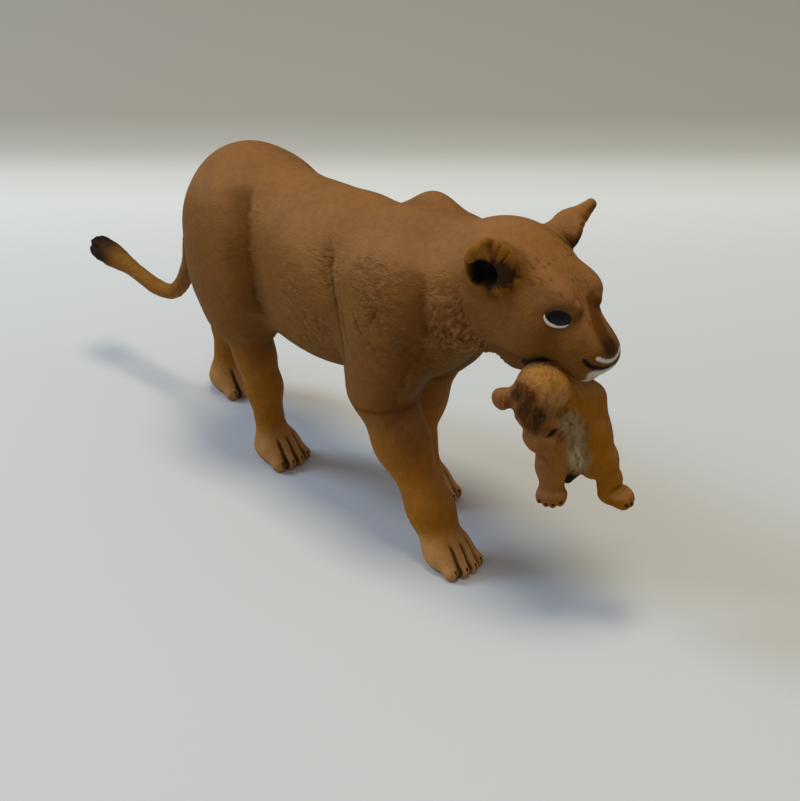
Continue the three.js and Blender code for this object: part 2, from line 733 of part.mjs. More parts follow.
// Seams: the neck is sawn square to X behind the ears, and the legs level just under the belly
const stations = Array.from({ length: BELLY_STATIONS + 1 }, (_, i) => (
  alongTrunk(i / BELLY_STATIONS, ribHeight)
));
const legSeam = Math.min(...stations.map((station) => undersideBelow(trunk, station))) - legSeamDrop;
const { min: low, max: high } = lioness.box.clone().union(ears.box);
const neckSeam = headCentre.x - neckSeamBack;
const torsoLow = at(low.x, low.y, legSeam + seamGap / 2);
const torsoHigh = at(neckSeam - seamGap / 2, high.y, high.z);
const headLow = at(neckSeam + seamGap / 2, low.y, legSeam);
let torso = casting(lioness, torsoLow, torsoHigh, bodyCell);
let head = casting(body, headLow, high, headCell).add(skin(ears, earCell));

// Each leg keeps what lies below its seam, and a peg along its shaft stands in a socket of the torso
const LEGS = {
  right_foreleg: rightFore,
  left_foreleg: leftFore,
  right_hind_leg: rightHind,
  left_hind_leg: leftHind,
};
for (const [name, { shaft: [upper, lower], form }] of Object.entries(LEGS)) {
  const direction = upper.clone().sub(lower).normalize();
  const root = between(lower, upper, (legSeam - lower.z) / (upper.z - lower.z));
  const start = root.addScaledVector(direction, -pegLength);
  const legLow = at(form.box.min.x, form.box.min.y, 0);
  const legHigh = at(form.box.max.x, form.box.max.y, legSeam - seamGap / 2);
  const nearLeg = common(blend(legFillet, body, form), grown(form, legFillet));
  const leg = casting(nearLeg, legLow, legHigh, legCell);
  const spare = 2 * pegClearance;
  add(name, leg.add(peg(start, direction, pegDiameter, 2 * pegLength)), FUR);
  torso = torso.subtract(peg(start, direction, pegDiameter + spare, 2 * pegLength + pegClearance));
}

// The head has a neck plug, and its mouth closes on the cub's scruff
const neckPlug = (spare) => peg(
  at(neckSeam - plugLength - spare, 0, headCentre.z - plugDrop),
  at(1, 0, 0),
  plugDiameter + 2 * spare,
  2 * plugLength,
);
head = head.add(neckPlug(0)).subtract(skin(grown(cub, seamGap), cubCell));
torso = torso.subtract(neckPlug(pegClearance));
add("head", head, FUR);
add("cub", skin(cub, cubCell), CUB_FUR);

// The tail butts on the rump and has a peg into it
const rump = within(grown(body, seamGap), at(low.x, -tailGirth, 0), at(hipX, tailGirth, high.z));
const tailPeg = (spare) => peg(
  tailPoints[1],
  hip.clone().sub(tailPoints[1]),
  tailPegDiameter + 2 * spare,
  tailPegLength + spare,
);
add("tail", skin(tail, tailCell).subtract(skin(rump, tailCell)).add(tailPeg(0)), FUR);
torso = torso.subtract(tailPeg(pegClearance));
add("torso", torso, FUR);

// The figure stands on z = 0 with the middle of its box over the origin
const middle = new THREE.Box3().setFromObject(figure).getCenter(at(0, 0, 0));
figure.position.set(-middle.x, -middle.y, 0);
const group = new THREE.Group();
group.add(figure);

export default group;
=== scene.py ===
"""Looks of a moulded vinyl lioness that carries her cub by the scruff.

Shapes are worked out in millimetres in the figure's own frame: +X to the nose, +Y to her left and
+Z up. The smooth forms repeat the castings, and fur, creases, toes and face are carved into them
at a fine pitch. Paint is worked out per point and carried to the materials as attributes.
"""

import logging
import math
from dataclasses import dataclass
from enum import Enum
from typing import Sequence

import bpy
import numpy as np
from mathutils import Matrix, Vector


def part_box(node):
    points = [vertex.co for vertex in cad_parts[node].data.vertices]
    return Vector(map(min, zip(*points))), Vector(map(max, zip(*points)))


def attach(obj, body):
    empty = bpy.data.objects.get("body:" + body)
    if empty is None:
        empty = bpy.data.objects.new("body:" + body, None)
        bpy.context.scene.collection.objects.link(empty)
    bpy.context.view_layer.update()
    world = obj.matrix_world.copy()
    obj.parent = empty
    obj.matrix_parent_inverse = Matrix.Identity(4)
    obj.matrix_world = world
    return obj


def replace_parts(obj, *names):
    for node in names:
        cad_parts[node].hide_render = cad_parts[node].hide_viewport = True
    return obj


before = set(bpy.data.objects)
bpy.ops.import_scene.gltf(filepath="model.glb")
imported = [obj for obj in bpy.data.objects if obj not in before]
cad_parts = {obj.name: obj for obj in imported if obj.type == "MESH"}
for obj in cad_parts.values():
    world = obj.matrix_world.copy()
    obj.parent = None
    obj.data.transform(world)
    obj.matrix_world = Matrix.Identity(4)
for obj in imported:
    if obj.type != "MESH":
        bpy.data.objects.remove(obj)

logging.basicConfig(level=logging.INFO, format="%(name)s: %(message)s")
log = logging.getLogger("lioness")

Array = np.ndarray
MM = 0.001
TINY = 1e-6
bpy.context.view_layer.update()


def vec(x: float, y: float, z: float) -> Array:
    """A point or direction as an array."""
    return np.array([x, y, z], dtype=np.float32)


def mix(a, b, share):
    """The value that lies a share of the way from a to b."""
    return a + (b - a) * share


def smooth(values: Array, start: float, end: float) -> Array:
    """A soft step: 0 up to start, 1 from end on, and 3t^2 - 2t^3 between them."""
    t = np.clip((values - start) / (end - start), 0.0, 1.0)
    return t * t * (3.0 - 2.0 * t)


def bell(values: Array, width: float) -> Array:
    """A soft peak at 0 that falls to a third at one width: exp(-(v / width)^2)."""
    return np.exp(-((values / width) ** 2))


def turned(roll: float, pitch: float, yaw: float) -> Array:
    """The turn matrix about X, then Y, then Z; its columns are the turned axes.

    Args:
        roll: The angle about X, in radians.
        pitch: The angle about Y.
        yaw: The angle about Z.

    Returns:
        The three by three matrix.
    """
    cr, sr = math.cos(roll), math.sin(roll)
    cp, sp = math.cos(pitch), math.sin(pitch)
    cy, sy = math.cos(yaw), math.sin(yaw)
    about_x = np.array([[1, 0, 0], [0, cr, -sr], [0, sr, cr]])
    about_y = np.array([[cp, 0, sp], [0, 1, 0], [-sp, 0, cp]])
    about_z = np.array([[cy, -sy, 0], [sy, cy, 0], [0, 0, 1]])
    return (about_z @ about_y @ about_x).astype(np.float32)


class Form:
    """A solid given by its signed distance, which is negative inside."""

    def distance(self, points: Array) -> Array:
        """The distance of each point to the surface.

        Args:
            points: An array of places, three numbers each.

        Returns:
            One signed distance per place.
        """
        raise NotImplementedError


class Egg(Form):
    """An ellipsoid, turned about its centre."""

    def __init__(self, centre: Array, sizes: Sequence[float], pitch: float = 0.0,
                 yaw: float = 0.0, roll: float = 0.0) -> None:
        """Args: centre, the three full sizes, and the angles of turn."""
        self.centre = np.asarray(centre, dtype=np.float32)
        self.half = np.asarray(sizes, dtype=np.float32) / 2
        self.axes = turned(roll, pitch, yaw)

    def distance(self, points: Array) -> Array:
        """|q| (|q| - 1) over the slope of |q|, where q is the place over the half sizes.

        Args:
            points: The places.

        Returns:
            One signed distance per place.
        """
        q = ((points - self.centre) @ self.axes) / self.half
        inner = np.sqrt((q * q).sum(-1))
        steep = np.sqrt(((q / self.half) ** 2).sum(-1))
        return inner * (inner - 1.0) / np.maximum(steep, TINY)


class Limb(Form):
    """A straight round limb that tapers from one girth to another."""

    def __init__(self, start: Array, end: Array, girth_start: float, girth_end: float) -> None:
        """Args: the two ends of the axis and the girth at each."""
        self.start = np.asarray(start, dtype=np.float32)
        self.line = np.asarray(end, dtype=np.float32) - self.start
        self.girths = (girth_start, girth_end)

    def distance(self, points: Array) -> Array:
        """The distance to the axis, less half the girth at the nearest place on it.

        Args:
            points: The places.

        Returns:
            One signed distance per place.
        """
        offset = points - self.start
        share = np.clip(offset @ self.line / float(self.line @ self.line), 0.0, 1.0)
        gone = offset - share[..., None] * self.line
        return np.sqrt((gone * gone).sum(-1)) - mix(*self.girths, share) / 2


class Blend(Form):
    """Forms joined with a fillet: min(a, b) less a parabola where they are close."""

    def __init__(self, softness: float, *forms: Form) -> None:
        """Args: the fillet's softness and the forms."""
        self.softness = softness
        self.forms = forms

    def distance(self, points: Array) -> Array:
        """The least distance, lowered by softness / 4 where two are equal.

        Args:
            points: The places.

        Returns:
            One signed distance per place.
        """
        total = self.forms[0].distance(points)
        for form in self.forms[1:]:
            other = form.distance(points)
            close = np.maximum(self.softness - np.abs(total - other), 0.0) / self.softness
            total = np.minimum(total, other) - close * close * self.softness / 4
        return total


class Hollow(Form):
    """One form less another, with a softened edge."""

    def __init__(self, softness: float, form: Form, cutter: Form) -> None:
        """Args: the edge's softness, the form and what is taken from it."""
        self.softness = softness
        self.form = form
        self.cutter = cutter

    def distance(self, points: Array) -> Array:
        """The greater of the form's distance and minus the cutter's, with a parabola added.

        Args:
            points: The places.

        Returns:
            One signed distance per place.
        """
        kept = self.form.distance(points)
        cut = -self.cutter.distance(points)
        close = np.maximum(self.softness - np.abs(kept - cut), 0.0) / self.softness
        return np.maximum(kept, cut) + close * close * self.softness / 4


class Beyond(Form):
    """All that lies behind a plane."""

    def __init__(self, normal: Array, offset: float) -> None:
        """Args: the plane's normal, which points out of the solid, and its place along it."""
        self.normal = np.asarray(normal, dtype=np.float32)
        self.offset = offset

    def distance(self, points: Array) -> Array:
        """The height over the plane."""
        return points @ self.normal - self.offset


class Common(Form):
    """What several forms have in common, with sharp edges."""

    def __init__(self, *forms: Form) -> None:
        """Args: the forms."""
        self.forms = forms

    def distance(self, points: Array) -> Array:
        """The greatest of the distances.

        Args:
            points: The places.

        Returns:
            One signed distance per place.
        """
        total = self.forms[0].distance(points)
        for form in self.forms[1:]:
            total = np.maximum(total, form.distance(points))
        return total


class Pair(Form):
    """A form and its mirror image across the middle of the body."""

    def __init__(self, form: Form, softness: float = 1.5) -> None:
        """Args: the form on the left side, and the fillet where the two meet."""
        self.form = form
        self.softness = softness

    def distance(self, points: Array) -> Array:
        """The blend of both sides.

        Args:
            points: The places.

        Returns:
            One signed distance per place.
        """
        left = self.form.distance(points)
        right = self.form.distance(points * vec(1, -1, 1))
        close = np.maximum(self.softness - np.abs(left - right), 0.0) / self.softness
        return np.minimum(left, right) - close * close * self.softness / 4


def chain(points: Sequence[Array], girths: Sequence[float], softness: float) -> Form:
    """A run of limbs through several points.

    Args:
        points: The joints of the run.
        girths: The girth at each joint.
        softness: The fillet between links.

    Returns:
        The blended run.
    """
    links = [Limb(*pair) for pair in zip(points, points[1:], girths, girths[1:])]
    return Blend(softness, *links)


CORNERS = np.array([[n & 1, (n >> 1) & 1, n >> 2] for n in range(8)])
EDGES = [(a, a + step) for step in (1, 2, 4) for a in range(8) if not a & step]
BLOCK = 8
BATCH = 400
FAR = 1e3
BLOCK_MARGIN = 0.6


def sampled(form: Form, low: Array, high: Array, cell: float) -> tuple[Array, Array]:
    """Signed distances on a grid, worked out in full only in blocks that the surface may cross.

    Args:
        form: The solid.
        low: The lowest corner of the region.
        high: The highest corner.
        cell: The pitch of the grid.

    Returns:
        The grid of distances and the place of its first sample.
    """
    counts = np.ceil((high - low) / (cell * BLOCK)).astype(int) + 1
    blocks = np.stack(np.meshgrid(*map(np.arange, counts), indexing="ij"), -1).reshape(-1, 3)
    corner = low + blocks * cell * BLOCK
    middle = form.distance((corner + cell * (BLOCK - 1) / 2).astype(np.float32))
    values = np.repeat(np.sign(middle)[:, None] * FAR, BLOCK**3, axis=1).astype(np.float32)
    near = np.flatnonzero(np.abs(middle) < cell * BLOCK * 1.5 + BLOCK_MARGIN)
    inner = np.stack(np.meshgrid(*[np.arange(BLOCK)] * 3, indexing="ij"), -1).reshape(-1, 3) * cell
    for part in np.array_split(near, max(1, len(near) // BATCH)):
        places = (corner[part][:, None, :] + inner[None]).astype(np.float32)
        values[part] = form.distance(places.reshape(-1, 3)).reshape(len(part), -1)
    grid = values.reshape(*counts, BLOCK, BLOCK, BLOCK).transpose(0, 3, 1, 4, 2, 5)
    return grid.reshape(counts * BLOCK), low


def slope(form: Form, points: Array, step: float) -> tuple[Array, Array]:
    """A form's distance and its gradient by forward differences: (d(p + s e) - d(p)) / s.

    Args:
        form: The solid.
        points: The places.
        step: The length s of the difference.

    Returns:
        The distance at each place, and the gradient there.
    """
    value = form.distance(points)
    parts = [form.distance(points + step * axis) - value for axis in np.eye(3, dtype=np.float32)]
    return value, np.stack(parts, -1) / step


def skin(form: Form, low: Array, high: Array, cell: float) -> tuple[Array, Array, Array]:
    """The surface of a form: a point in each grid cell that it crosses, and a quad per crossed edge.

    Each point starts at the mean of its cell's edge crossings and slides down the gradient onto
    the surface: p - d g / |g|^2.

    Args:
        form: The solid.
        low: The lowest corner of the region.
        high: The highest corner.
        cell: The pitch of the grid.

    Returns:
        The points, the quads as point numbers, and the outward normals.
    """
    grid, start = sampled(form, low, high, cell)
    inside = grid < 0
    shape = np.array(grid.shape) - 1
    window = [tuple(slice(c, c + s) for c, s in zip(corner, shape)) for corner in CORNERS]
    count = sum(inside[w].astype(np.int8) for w in window)
    cells = np.argwhere((count > 0) & (count < 8))
    corner_values = np.stack([grid[tuple((cells + c).T)] for c in CORNERS], -1)
    total = np.zeros((len(cells), 3))
    crossings = np.zeros(len(cells))
    for a, b in EDGES:
        va, vb = corner_values[:, a], corner_values[:, b]
        crossed = (va < 0) != (vb < 0)
        share = np.where(crossed, va / np.where(crossed, va - vb, 1.0), 0.0)
        place = CORNERS[a] + share[:, None] * (CORNERS[b] - CORNERS[a])
        total += place * crossed[:, None]
        crossings += crossed
    points = (start + (cells + total / crossings[:, None]) * cell).astype(np.float32)
    for _ in range(2):
        value, gradient = slope(form, points, cell / 10)
        move = gradient * (value / np.maximum((gradient**2).sum(-1), 0.3))[:, None]
        points -= np.clip(move, -cell / 3, cell / 3)
    number = np.full(shape, -1, dtype=np.int64)
    number[tuple(cells.T)] = np.arange(len(cells))
    quads = []
    for axis in range(3):
        s, t = np.eye(3, dtype=int)[(axis + 1) % 3], np.eye(3, dtype=int)[(axis + 2) % 3]
        ahead = np.diff(inside.astype(np.int8), axis=axis)
        edges = np.argwhere(ahead != 0)
        kept = np.all((edges >= s + t) & (edges < shape), axis=1)
        edges = edges[kept]
        outward = ahead[tuple(edges.T)] < 0
        ring = np.stack([number[tuple((edges - a * s - b * t).T)]
                         for a, b in ((1, 1), (0, 1), (0, 0), (1, 0))], -1)
        ring[~outward] = ring[~outward][:, ::-1]
        quads.append(ring[(ring >= 0).all(axis=1)])
    _, gradient = slope(form, points, cell / 4)
    normals = gradient / np.maximum(np.linalg.norm(gradient, axis=1, keepdims=True), TINY)
    return points, np.concatenate(quads), normals


def ripple(points: Array, seed: int = 0) -> Array:
    """Smooth noise between -1 and 1, about one bump per unit.

    Each lattice corner gets a value from a scrambled product of its three whole numbers, and
    places between them take the 3t^2 - 2t^3 mix of the eight corners.

    Args:
        points: Places in units of one bump.
        seed: The number of the pattern.

    Returns:
        One value per place.
    """
    whole = np.floor(points).astype(np.int64)
    part = (points - whole).astype(np.float32)
    part = part * part * (3 - 2 * part)
    total = np.zeros(len(points), dtype=np.float32)
    for corner in CORNERS:
        x, y, z = (whole + corner).T
        scrambled = (x * 73856093) ^ (y * 19349663) ^ (z * 83492791) ^ (seed * 2654435761)
        scrambled = (scrambled ^ (scrambled >> 13)) * 1274126177 & 0x7FFFFFFF
        scrambled = (scrambled ^ (scrambled >> 15)) & 0xFFFF
        weight = np.prod(np.where(corner, part, 1 - part), axis=1)
        total += weight * (scrambled / 32767.5 - 1).astype(np.float32)
    return total


def strokes(points: Array, pitch: Array, seed: int) -> Array:
    """Sculpted hair strokes: short dashes cut between low raised locks.

    Two layers of noise are stretched along the hair and swayed by a broad third. Where a layer
    runs high a dash is cut, and where the first runs low a lock is raised.

    Args:
        points: The places.
        pitch: The length of a lock along each axis.
        seed: The number of the pattern.

    Returns:
        A height from about -1.6 in the dashes to 0.6 on the locks.
    """
    sway = np.stack([ripple(points / 3.4, seed + k) for k in range(3)], -1)
    base = (points + 0.55 * sway) / pitch
    first, second = ripple(base, seed + 5), ripple(base * 1.7 + 7.3, seed + 6)
    locks = 0.6 * smooth(-first, 0.05, 0.5)
    dashes = smooth(first, 0.08, 0.5) + 0.6 * smooth(second, 0.15, 0.55)
    return locks - dashes


def near_path(points: Array, path: Sequence[Array], width: float) -> Array:
    """How close each place is to a broken line: 1 on it, a third at one width.

    Args:
        points: The places.
        path: The line's corners.
        width: The width of the peak.

    Returns:
        The strength at each place.
    """
    stretches = [Limb(a, b, 0.0, 0.0).distance(points) for a, b in zip(path, path[1:])]
    return bell(np.minimum.reduce(stretches), width)


# Paint


def pigment(red: int, green: int, blue: int) -> Array:
    """A paint's linear colour from its screen values.

    Args:
        red: From 0 to 255, as are the others.
        green: The green value.
        blue: The blue value.

    Returns:
        The linear colour: c / 12.92 up to 0.04045 and ((c + 0.055) / 1.055)^2.4 above.
    """
    c = np.array([red, green, blue]) / 255
    return np.where(c <= 0.04045, c / 12.92, ((c + 0.055) / 1.055) ** 2.4)


class Pigment(Enum):
    """The paints on the figure."""

    TAN = (134, 88, 38)
    # Painted light: a lighter tan for the lit tops of the coat and the brows.
    BACK_TAN = (137, 93, 53)
    ROSE_TAN = (119, 75, 34)
    OLIVE = (111, 77, 26)
    # Painted shade: the warm brown behind the folds and on the cheeks.
    WASH = (92, 56, 6)
    UMBER = (78, 43, 4)
    DARK_UMBER = (36, 20, 9)
    BLACK = (12, 9, 9)
    OFF_WHITE = (205, 196, 184)
    OCHRE = (140, 88, 16)
    # Painted highlight: a pale tan on the raised locks of the hair.
    DRY_TAN = (172, 124, 84)
    SHIN = (162, 101, 18)
    PAW = (190, 136, 80)
    CUB_ORANGE = (141, 86, 12)
    CUB_LIGHT = (158, 108, 60)
    CUB_ROSE = (128, 84, 56)
    CUB_GREY = (138, 114, 82)
    CUB_PALE = (170, 150, 108)
    CUB_STRAW = (161, 111, 50)

    @property
    def colour(self) -> Array:
        """The linear colour."""
        return pigment(*self.value)


def brushed(coat: Array, paint: Pigment, cover: Array) -> Array:
    """A coat with another paint brushed over it.

    Args:
        coat: The colours so far.
        paint: The paint that is added.
        cover: Its cover at each point, from 0 to 1.

    Returns:
        The new colours.
    """
    share = np.clip(cover, 0.0, 1.0)[:, None]
    return coat * (1 - share) + paint.colour * share


@dataclass(frozen=True)
class Daub:
    """A daub of paint along a line on the surface.

    Its strength is a soft peak about the line. A ragged daub adds noise to the peak before its
    edge is cut by a soft step; one without an edge fades evenly.
    """

    paint: Pigment
    corners: tuple[tuple[float, float, float], ...]
    width: float
    cover: float
    edge: tuple[float, float] | None = None
    clumps: float = 0.0
    broad: float = 0.0

    def strength(self, points: Array, clumps: Array | float = 0.0, broad: Array | float = 0.0) -> Array:
        """The daub's cover at each place.

        Args:
            points: The places.
            clumps: Fine noise there.
            broad: Coarse noise there.

        Returns:
            The cover, from 0 up.
        """
        peak = near_path(points, [vec(*corner) for corner in self.corners], self.width)
        peak = peak + self.clumps * clumps + self.broad * broad
        return self.cover * (smooth(peak, *self.edge) if self.edge else peak)


@dataclass(frozen=True)
class VinylFinish:
    """Painted vinyl: a matt coat over fine moulded hair, whose strokes have a length per axis."""

    name: str
    roughness: float = 0.66
    shine: float = 0.06
    stroke: tuple[float, float, float] = (0.9, 0.32, 0.32)
    grain: float = 0.3
    mottle: float = 0.2
    relief: float = 0.00035

    def material(self) -> bpy.types.Material:
        """The material: the paint attribute, varied and roughened by the shared coat group.

        Returns:
            The material.
        """
        made = bpy.data.materials.new(self.name)
        made.use_nodes = True
        tree = made.node_tree
        shader = tree.nodes["Principled BSDF"]
        shader.inputs["Specular IOR Level"].default_value = self.shine
        paint = tree.nodes.new("ShaderNodeAttribute")
        paint.attribute_name = "paint"
        fur = tree.nodes.new("ShaderNodeAttribute")
        fur.attribute_name = "fur"
        place = tree.nodes.new("ShaderNodeTexCoord")
        coat = tree.nodes.new("ShaderNodeGroup")
        coat.node_tree = coat_group()
        coat.inputs["Roughness"].default_value = self.roughness
        coat.inputs["Grain"].default_value = self.grain
        coat.inputs["Mottle"].default_value = self.mottle
        coat.inputs["Stroke"].default_value = tuple(1 / (MM * side) for side in self.stroke)
        bump = tree.nodes.new("ShaderNodeBump")
        bump.inputs["Strength"].default_value = 1.0
        bump.inputs["Distance"].default_value = self.relief
        link = tree.links.new
        link(paint.outputs["Color"], coat.inputs["Paint"])
        link(fur.outputs["Fac"], coat.inputs["Fur"])
        link(place.outputs["Object"], coat.inputs["Place"])
        link(coat.outputs["Color"], shader.inputs["Base Color"])
        link(coat.outputs["Roughness"], shader.inputs["Roughness"])
        link(coat.outputs["Height"], bump.inputs["Height"])
        link(bump.outputs["Normal"], shader.inputs["Normal"])
        return made


@dataclass(frozen=True)
class GlossFinish:
    """Varnish over one paint, on eyeballs, lower lids and claws."""

    name: str
    paint: Pigment
    roughness: float = 0.22
    shine: float = 0.2
    speckle: float = 900.0
    shades: tuple[float, float] = (0.75, 1.3)
    wear: tuple[float, float] = (0.8, 1.3)

    def material(self) -> bpy.types.Material:
        """The material: the paint, shaded and worn a little by noise on object coordinates.

        Returns:
            The material.
        """
        made = bpy.data.materials.new(self.name)
        made.use_nodes = True
        tree = made.node_tree
        shader = tree.nodes["Principled BSDF"]
        shader.inputs["Specular IOR Level"].default_value = self.shine
        place = tree.nodes.new("ShaderNodeTexCoord")
        noise = tree.nodes.new("ShaderNodeTexNoise")
        noise.inputs["Scale"].default_value = self.speckle
        ramp = tree.nodes.new("ShaderNodeValToRGB")
        for stop, shade in zip(ramp.color_ramp.elements, self.shades):
            stop.color = (*np.clip(self.paint.colour * shade, 0, 1), 1)
        rough = tree.nodes.new("ShaderNodeMapRange")
        rough.inputs["To Min"].default_value = self.roughness * self.wear[0]
        rough.inputs["To Max"].default_value = self.roughness * self.wear[1]
        link = tree.links.new
        link(place.outputs["Object"], noise.inputs["Vector"])
        link(noise.outputs["Fac"], ramp.inputs["Fac"])
        link(ramp.outputs["Color"], shader.inputs["Base Color"])
        link(noise.outputs["Fac"], rough.inputs["Value"])
        link(rough.outputs["Result"], shader.inputs["Roughness"])
        return made


BLOTCHES = (130.0, 700.0)
GRAIN = 3200.0
# How strongly the hair noise paints shade and light into the coat's colour.
HAIR_PAINTED_SHADING = 1.5
WORN = 0.12


def coat_group() -> bpy.types.ShaderNodeTree:
    """The shared coat of hand-brushed paint, as a node group that is built once.

    Colour: the paint times 1 plus a mottle of two noises and of the hair noise, which paints shade
    into the strokes' hollows and light onto their tops. Height: hair strokes, which are noise
    stretched along the hair and weighted by the fur mask, plus a fine grain. Roughness: a base
    value, varied by the mottle.

    Returns:
        The group.
    """
    found = bpy.data.node_groups.get("brushed_coat")
    if found:
        return found
    tree = bpy.data.node_groups.new("brushed_coat", "ShaderNodeTree")
    sockets = (
        ("Paint", "INPUT", "NodeSocketColor"), ("Fur", "INPUT", "NodeSocketFloat"),
        ("Place", "INPUT", "NodeSocketVector"), ("Stroke", "INPUT", "NodeSocketVector"),
        ("Roughness", "INPUT", "NodeSocketFloat"), ("Grain", "INPUT", "NodeSocketFloat"),
        ("Mottle", "INPUT", "NodeSocketFloat"), ("Color", "OUTPUT", "NodeSocketColor"),
        ("Roughness", "OUTPUT", "NodeSocketFloat"), ("Height", "OUTPUT", "NodeSocketFloat"),
    )
    for name, side, kind in sockets:
        tree.interface.new_socket(name, in_out=side, socket_type=kind)
    given = tree.nodes.new("NodeGroupInput").outputs
    result = tree.nodes.new("NodeGroupOutput").inputs
    link = tree.links.new

    def maths(operation: str, *values) -> bpy.types.NodeSocket:
        """A Math node whose inputs are sockets or numbers.

        Args:
            operation: The node's operation.

        Returns:
            The node's output.
        """
        node = tree.nodes.new("ShaderNodeMath")
        node.operation = operation
        for socket, value in zip(node.inputs, values):
            if isinstance(value, (int, float)):
                socket.default_value = value
            else:
                link(value, socket)
        return node.outputs[0]

    def noise(vector: bpy.types.NodeSocket, scale: float, detail: float) -> bpy.types.NodeSocket:
        """A noise texture from -0.5 to 0.5.

        Args:
            vector: Where the texture is read.
            scale: Its bumps per metre, or per unit of the vector.
            detail: How many finer layers it has.

        Returns:
            The node's output.
        """
        node = tree.nodes.new("ShaderNodeTexNoise")
        node.inputs["Scale"].default_value = scale
        node.inputs["Detail"].default_value = detail
        link(vector, node.inputs["Vector"])
        return maths("SUBTRACT", node.outputs["Fac"], 0.5)

    stretched = tree.nodes.new("ShaderNodeVectorMath")
    stretched.operation = "MULTIPLY"
    link(given["Place"], stretched.inputs[0])
    link(given["Stroke"], stretched.inputs[1])
    hair = maths("MULTIPLY", noise(stretched.outputs[0], 1.0, 2.0), given["Fur"])
    grain = maths("MULTIPLY", noise(given["Place"], GRAIN, 2.0), given["Grain"])
    link(maths("ADD", hair, grain), result["Height"])
    blotches = maths("ADD", *[noise(given["Place"], scale, 3.0) for scale in BLOTCHES])
    # The hair noise also paints shade where the bump sinks and light where it rises.
    mottle_and_hair_shade = maths("ADD", blotches, maths("MULTIPLY", hair, HAIR_PAINTED_SHADING))
    shade = maths("ADD", 1.0, maths("MULTIPLY", mottle_and_hair_shade, maths("MULTIPLY", given["Mottle"], 2.0)))
    tinted = tree.nodes.new("ShaderNodeVectorMath")
    tinted.operation = "SCALE"
    link(given["Paint"], tinted.inputs[0])
    link(shade, tinted.inputs["Scale"])
    link(tinted.outputs[0], result["Color"])
    rough = maths("ADD", given["Roughness"], maths("MULTIPLY", blotches, WORN))
    link(rough, result["Roughness"])
    return tree


# Meshes

# From the lioness's shoulders and soles to the frame's origin, set once the frame has been read
SHIFT = vec(0, 0, 0)


def made_object(name: str, points: Array, faces: Array, slot: str, material: bpy.types.Material,
                attributes: dict[str, Array] | None = None) -> bpy.types.Object:
    """A mesh object from points in millimetres of the figure's frame.

    Args:
        name: The piece's name.
        points: Its points.
        faces: Its quads or triangles, as point numbers.
        slot: The record's slot of its finish; not used.
        material: Its material.
        attributes: Values per point, as one number or a colour each.

    Returns:
        The object, which rides on the root body.
    """
    mesh = bpy.data.meshes.new(name)
    sides = faces.shape[1]
    mesh.vertices.add(len(points))
    mesh.vertices.foreach_set("co", ((points + SHIFT) * MM).astype(np.float32).ravel())
    mesh.loops.add(faces.size)
    mesh.loops.foreach_set("vertex_index", faces.astype(np.int32).ravel())
    mesh.polygons.add(len(faces))
    mesh.polygons.foreach_set("loop_start", np.arange(0, faces.size, sides, dtype=np.int32))
    mesh.polygons.foreach_set("use_smooth", np.ones(len(faces), dtype=bool))
    mesh.update(calc_edges=True)
    for key, values in (attributes or {}).items():
        if values.ndim == 1:
            layer = mesh.attributes.new(key, "FLOAT", "POINT")
            layer.data.foreach_set("value", values.astype(np.float32))
        else:
            layer = mesh.attributes.new(key, "FLOAT_COLOR", "POINT")
            opaque = np.concatenate([values, np.ones((len(values), 1))], axis=1)
            layer.data.foreach_set("color", opaque.astype(np.float32).ravel())
    mesh.validate()
    mesh.materials.append(material)
    made = bpy.data.objects.new(name, mesh)
    bpy.context.scene.collection.objects.link(made)
    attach(made, "root")
    log.info("%s: %d points, %d faces", name, len(points), len(faces))
    return made


def tube(path: Array, girths: Array, sides: int = 12) -> tuple[Array, Array]:
    """A closed round tube along a path.

    Ring k is path[k] + r (cos a U + sin a V), with U and V square to the path; each end is
    closed by a strip of quads across its ring.

    Args:
        path: The middle line, three numbers per station.
        girths: The girth at each station.
        sides: The number of points round the tube, which is even.

    Returns:
        The points and the quads.
    """
    along = np.gradient(path, axis=0)
    along /= np.linalg.norm(along, axis=1, keepdims=True)
    side = np.cross(along, vec(0.31, 0.17, 0.93))
    side /= np.linalg.norm(side, axis=1, keepdims=True)
    other = np.cross(along, side)
    angle = np.linspace(0, 2 * np.pi, sides, endpoint=False)
    ring = np.cos(angle)[None, :, None] * side[:, None] + np.sin(angle)[None, :, None] * other[:, None]
    points = (path[:, None] + ring * (np.asarray(girths)[:, None, None] / 2)).reshape(-1, 3)
    stations = len(path)
    k, j = np.meshgrid(np.arange(stations - 1), np.arange(sides), indexing="ij")
    follow = (j + 1) % sides
    this, after = k * sides, (k + 1) * sides
    quads = np.stack([this + j, after + j, after + follow, this + follow], -1)
    near = np.arange(sides // 2 - 1)
    start = np.stack([near, near + 1, sides - 2 - near, sides - 1 - near], -1)
    end = start[:, ::-1] + (stations - 1) * sides
    return points, np.concatenate([quads.reshape(-1, 4), start, end])


# The lioness

HUNDREDTH = 0.01


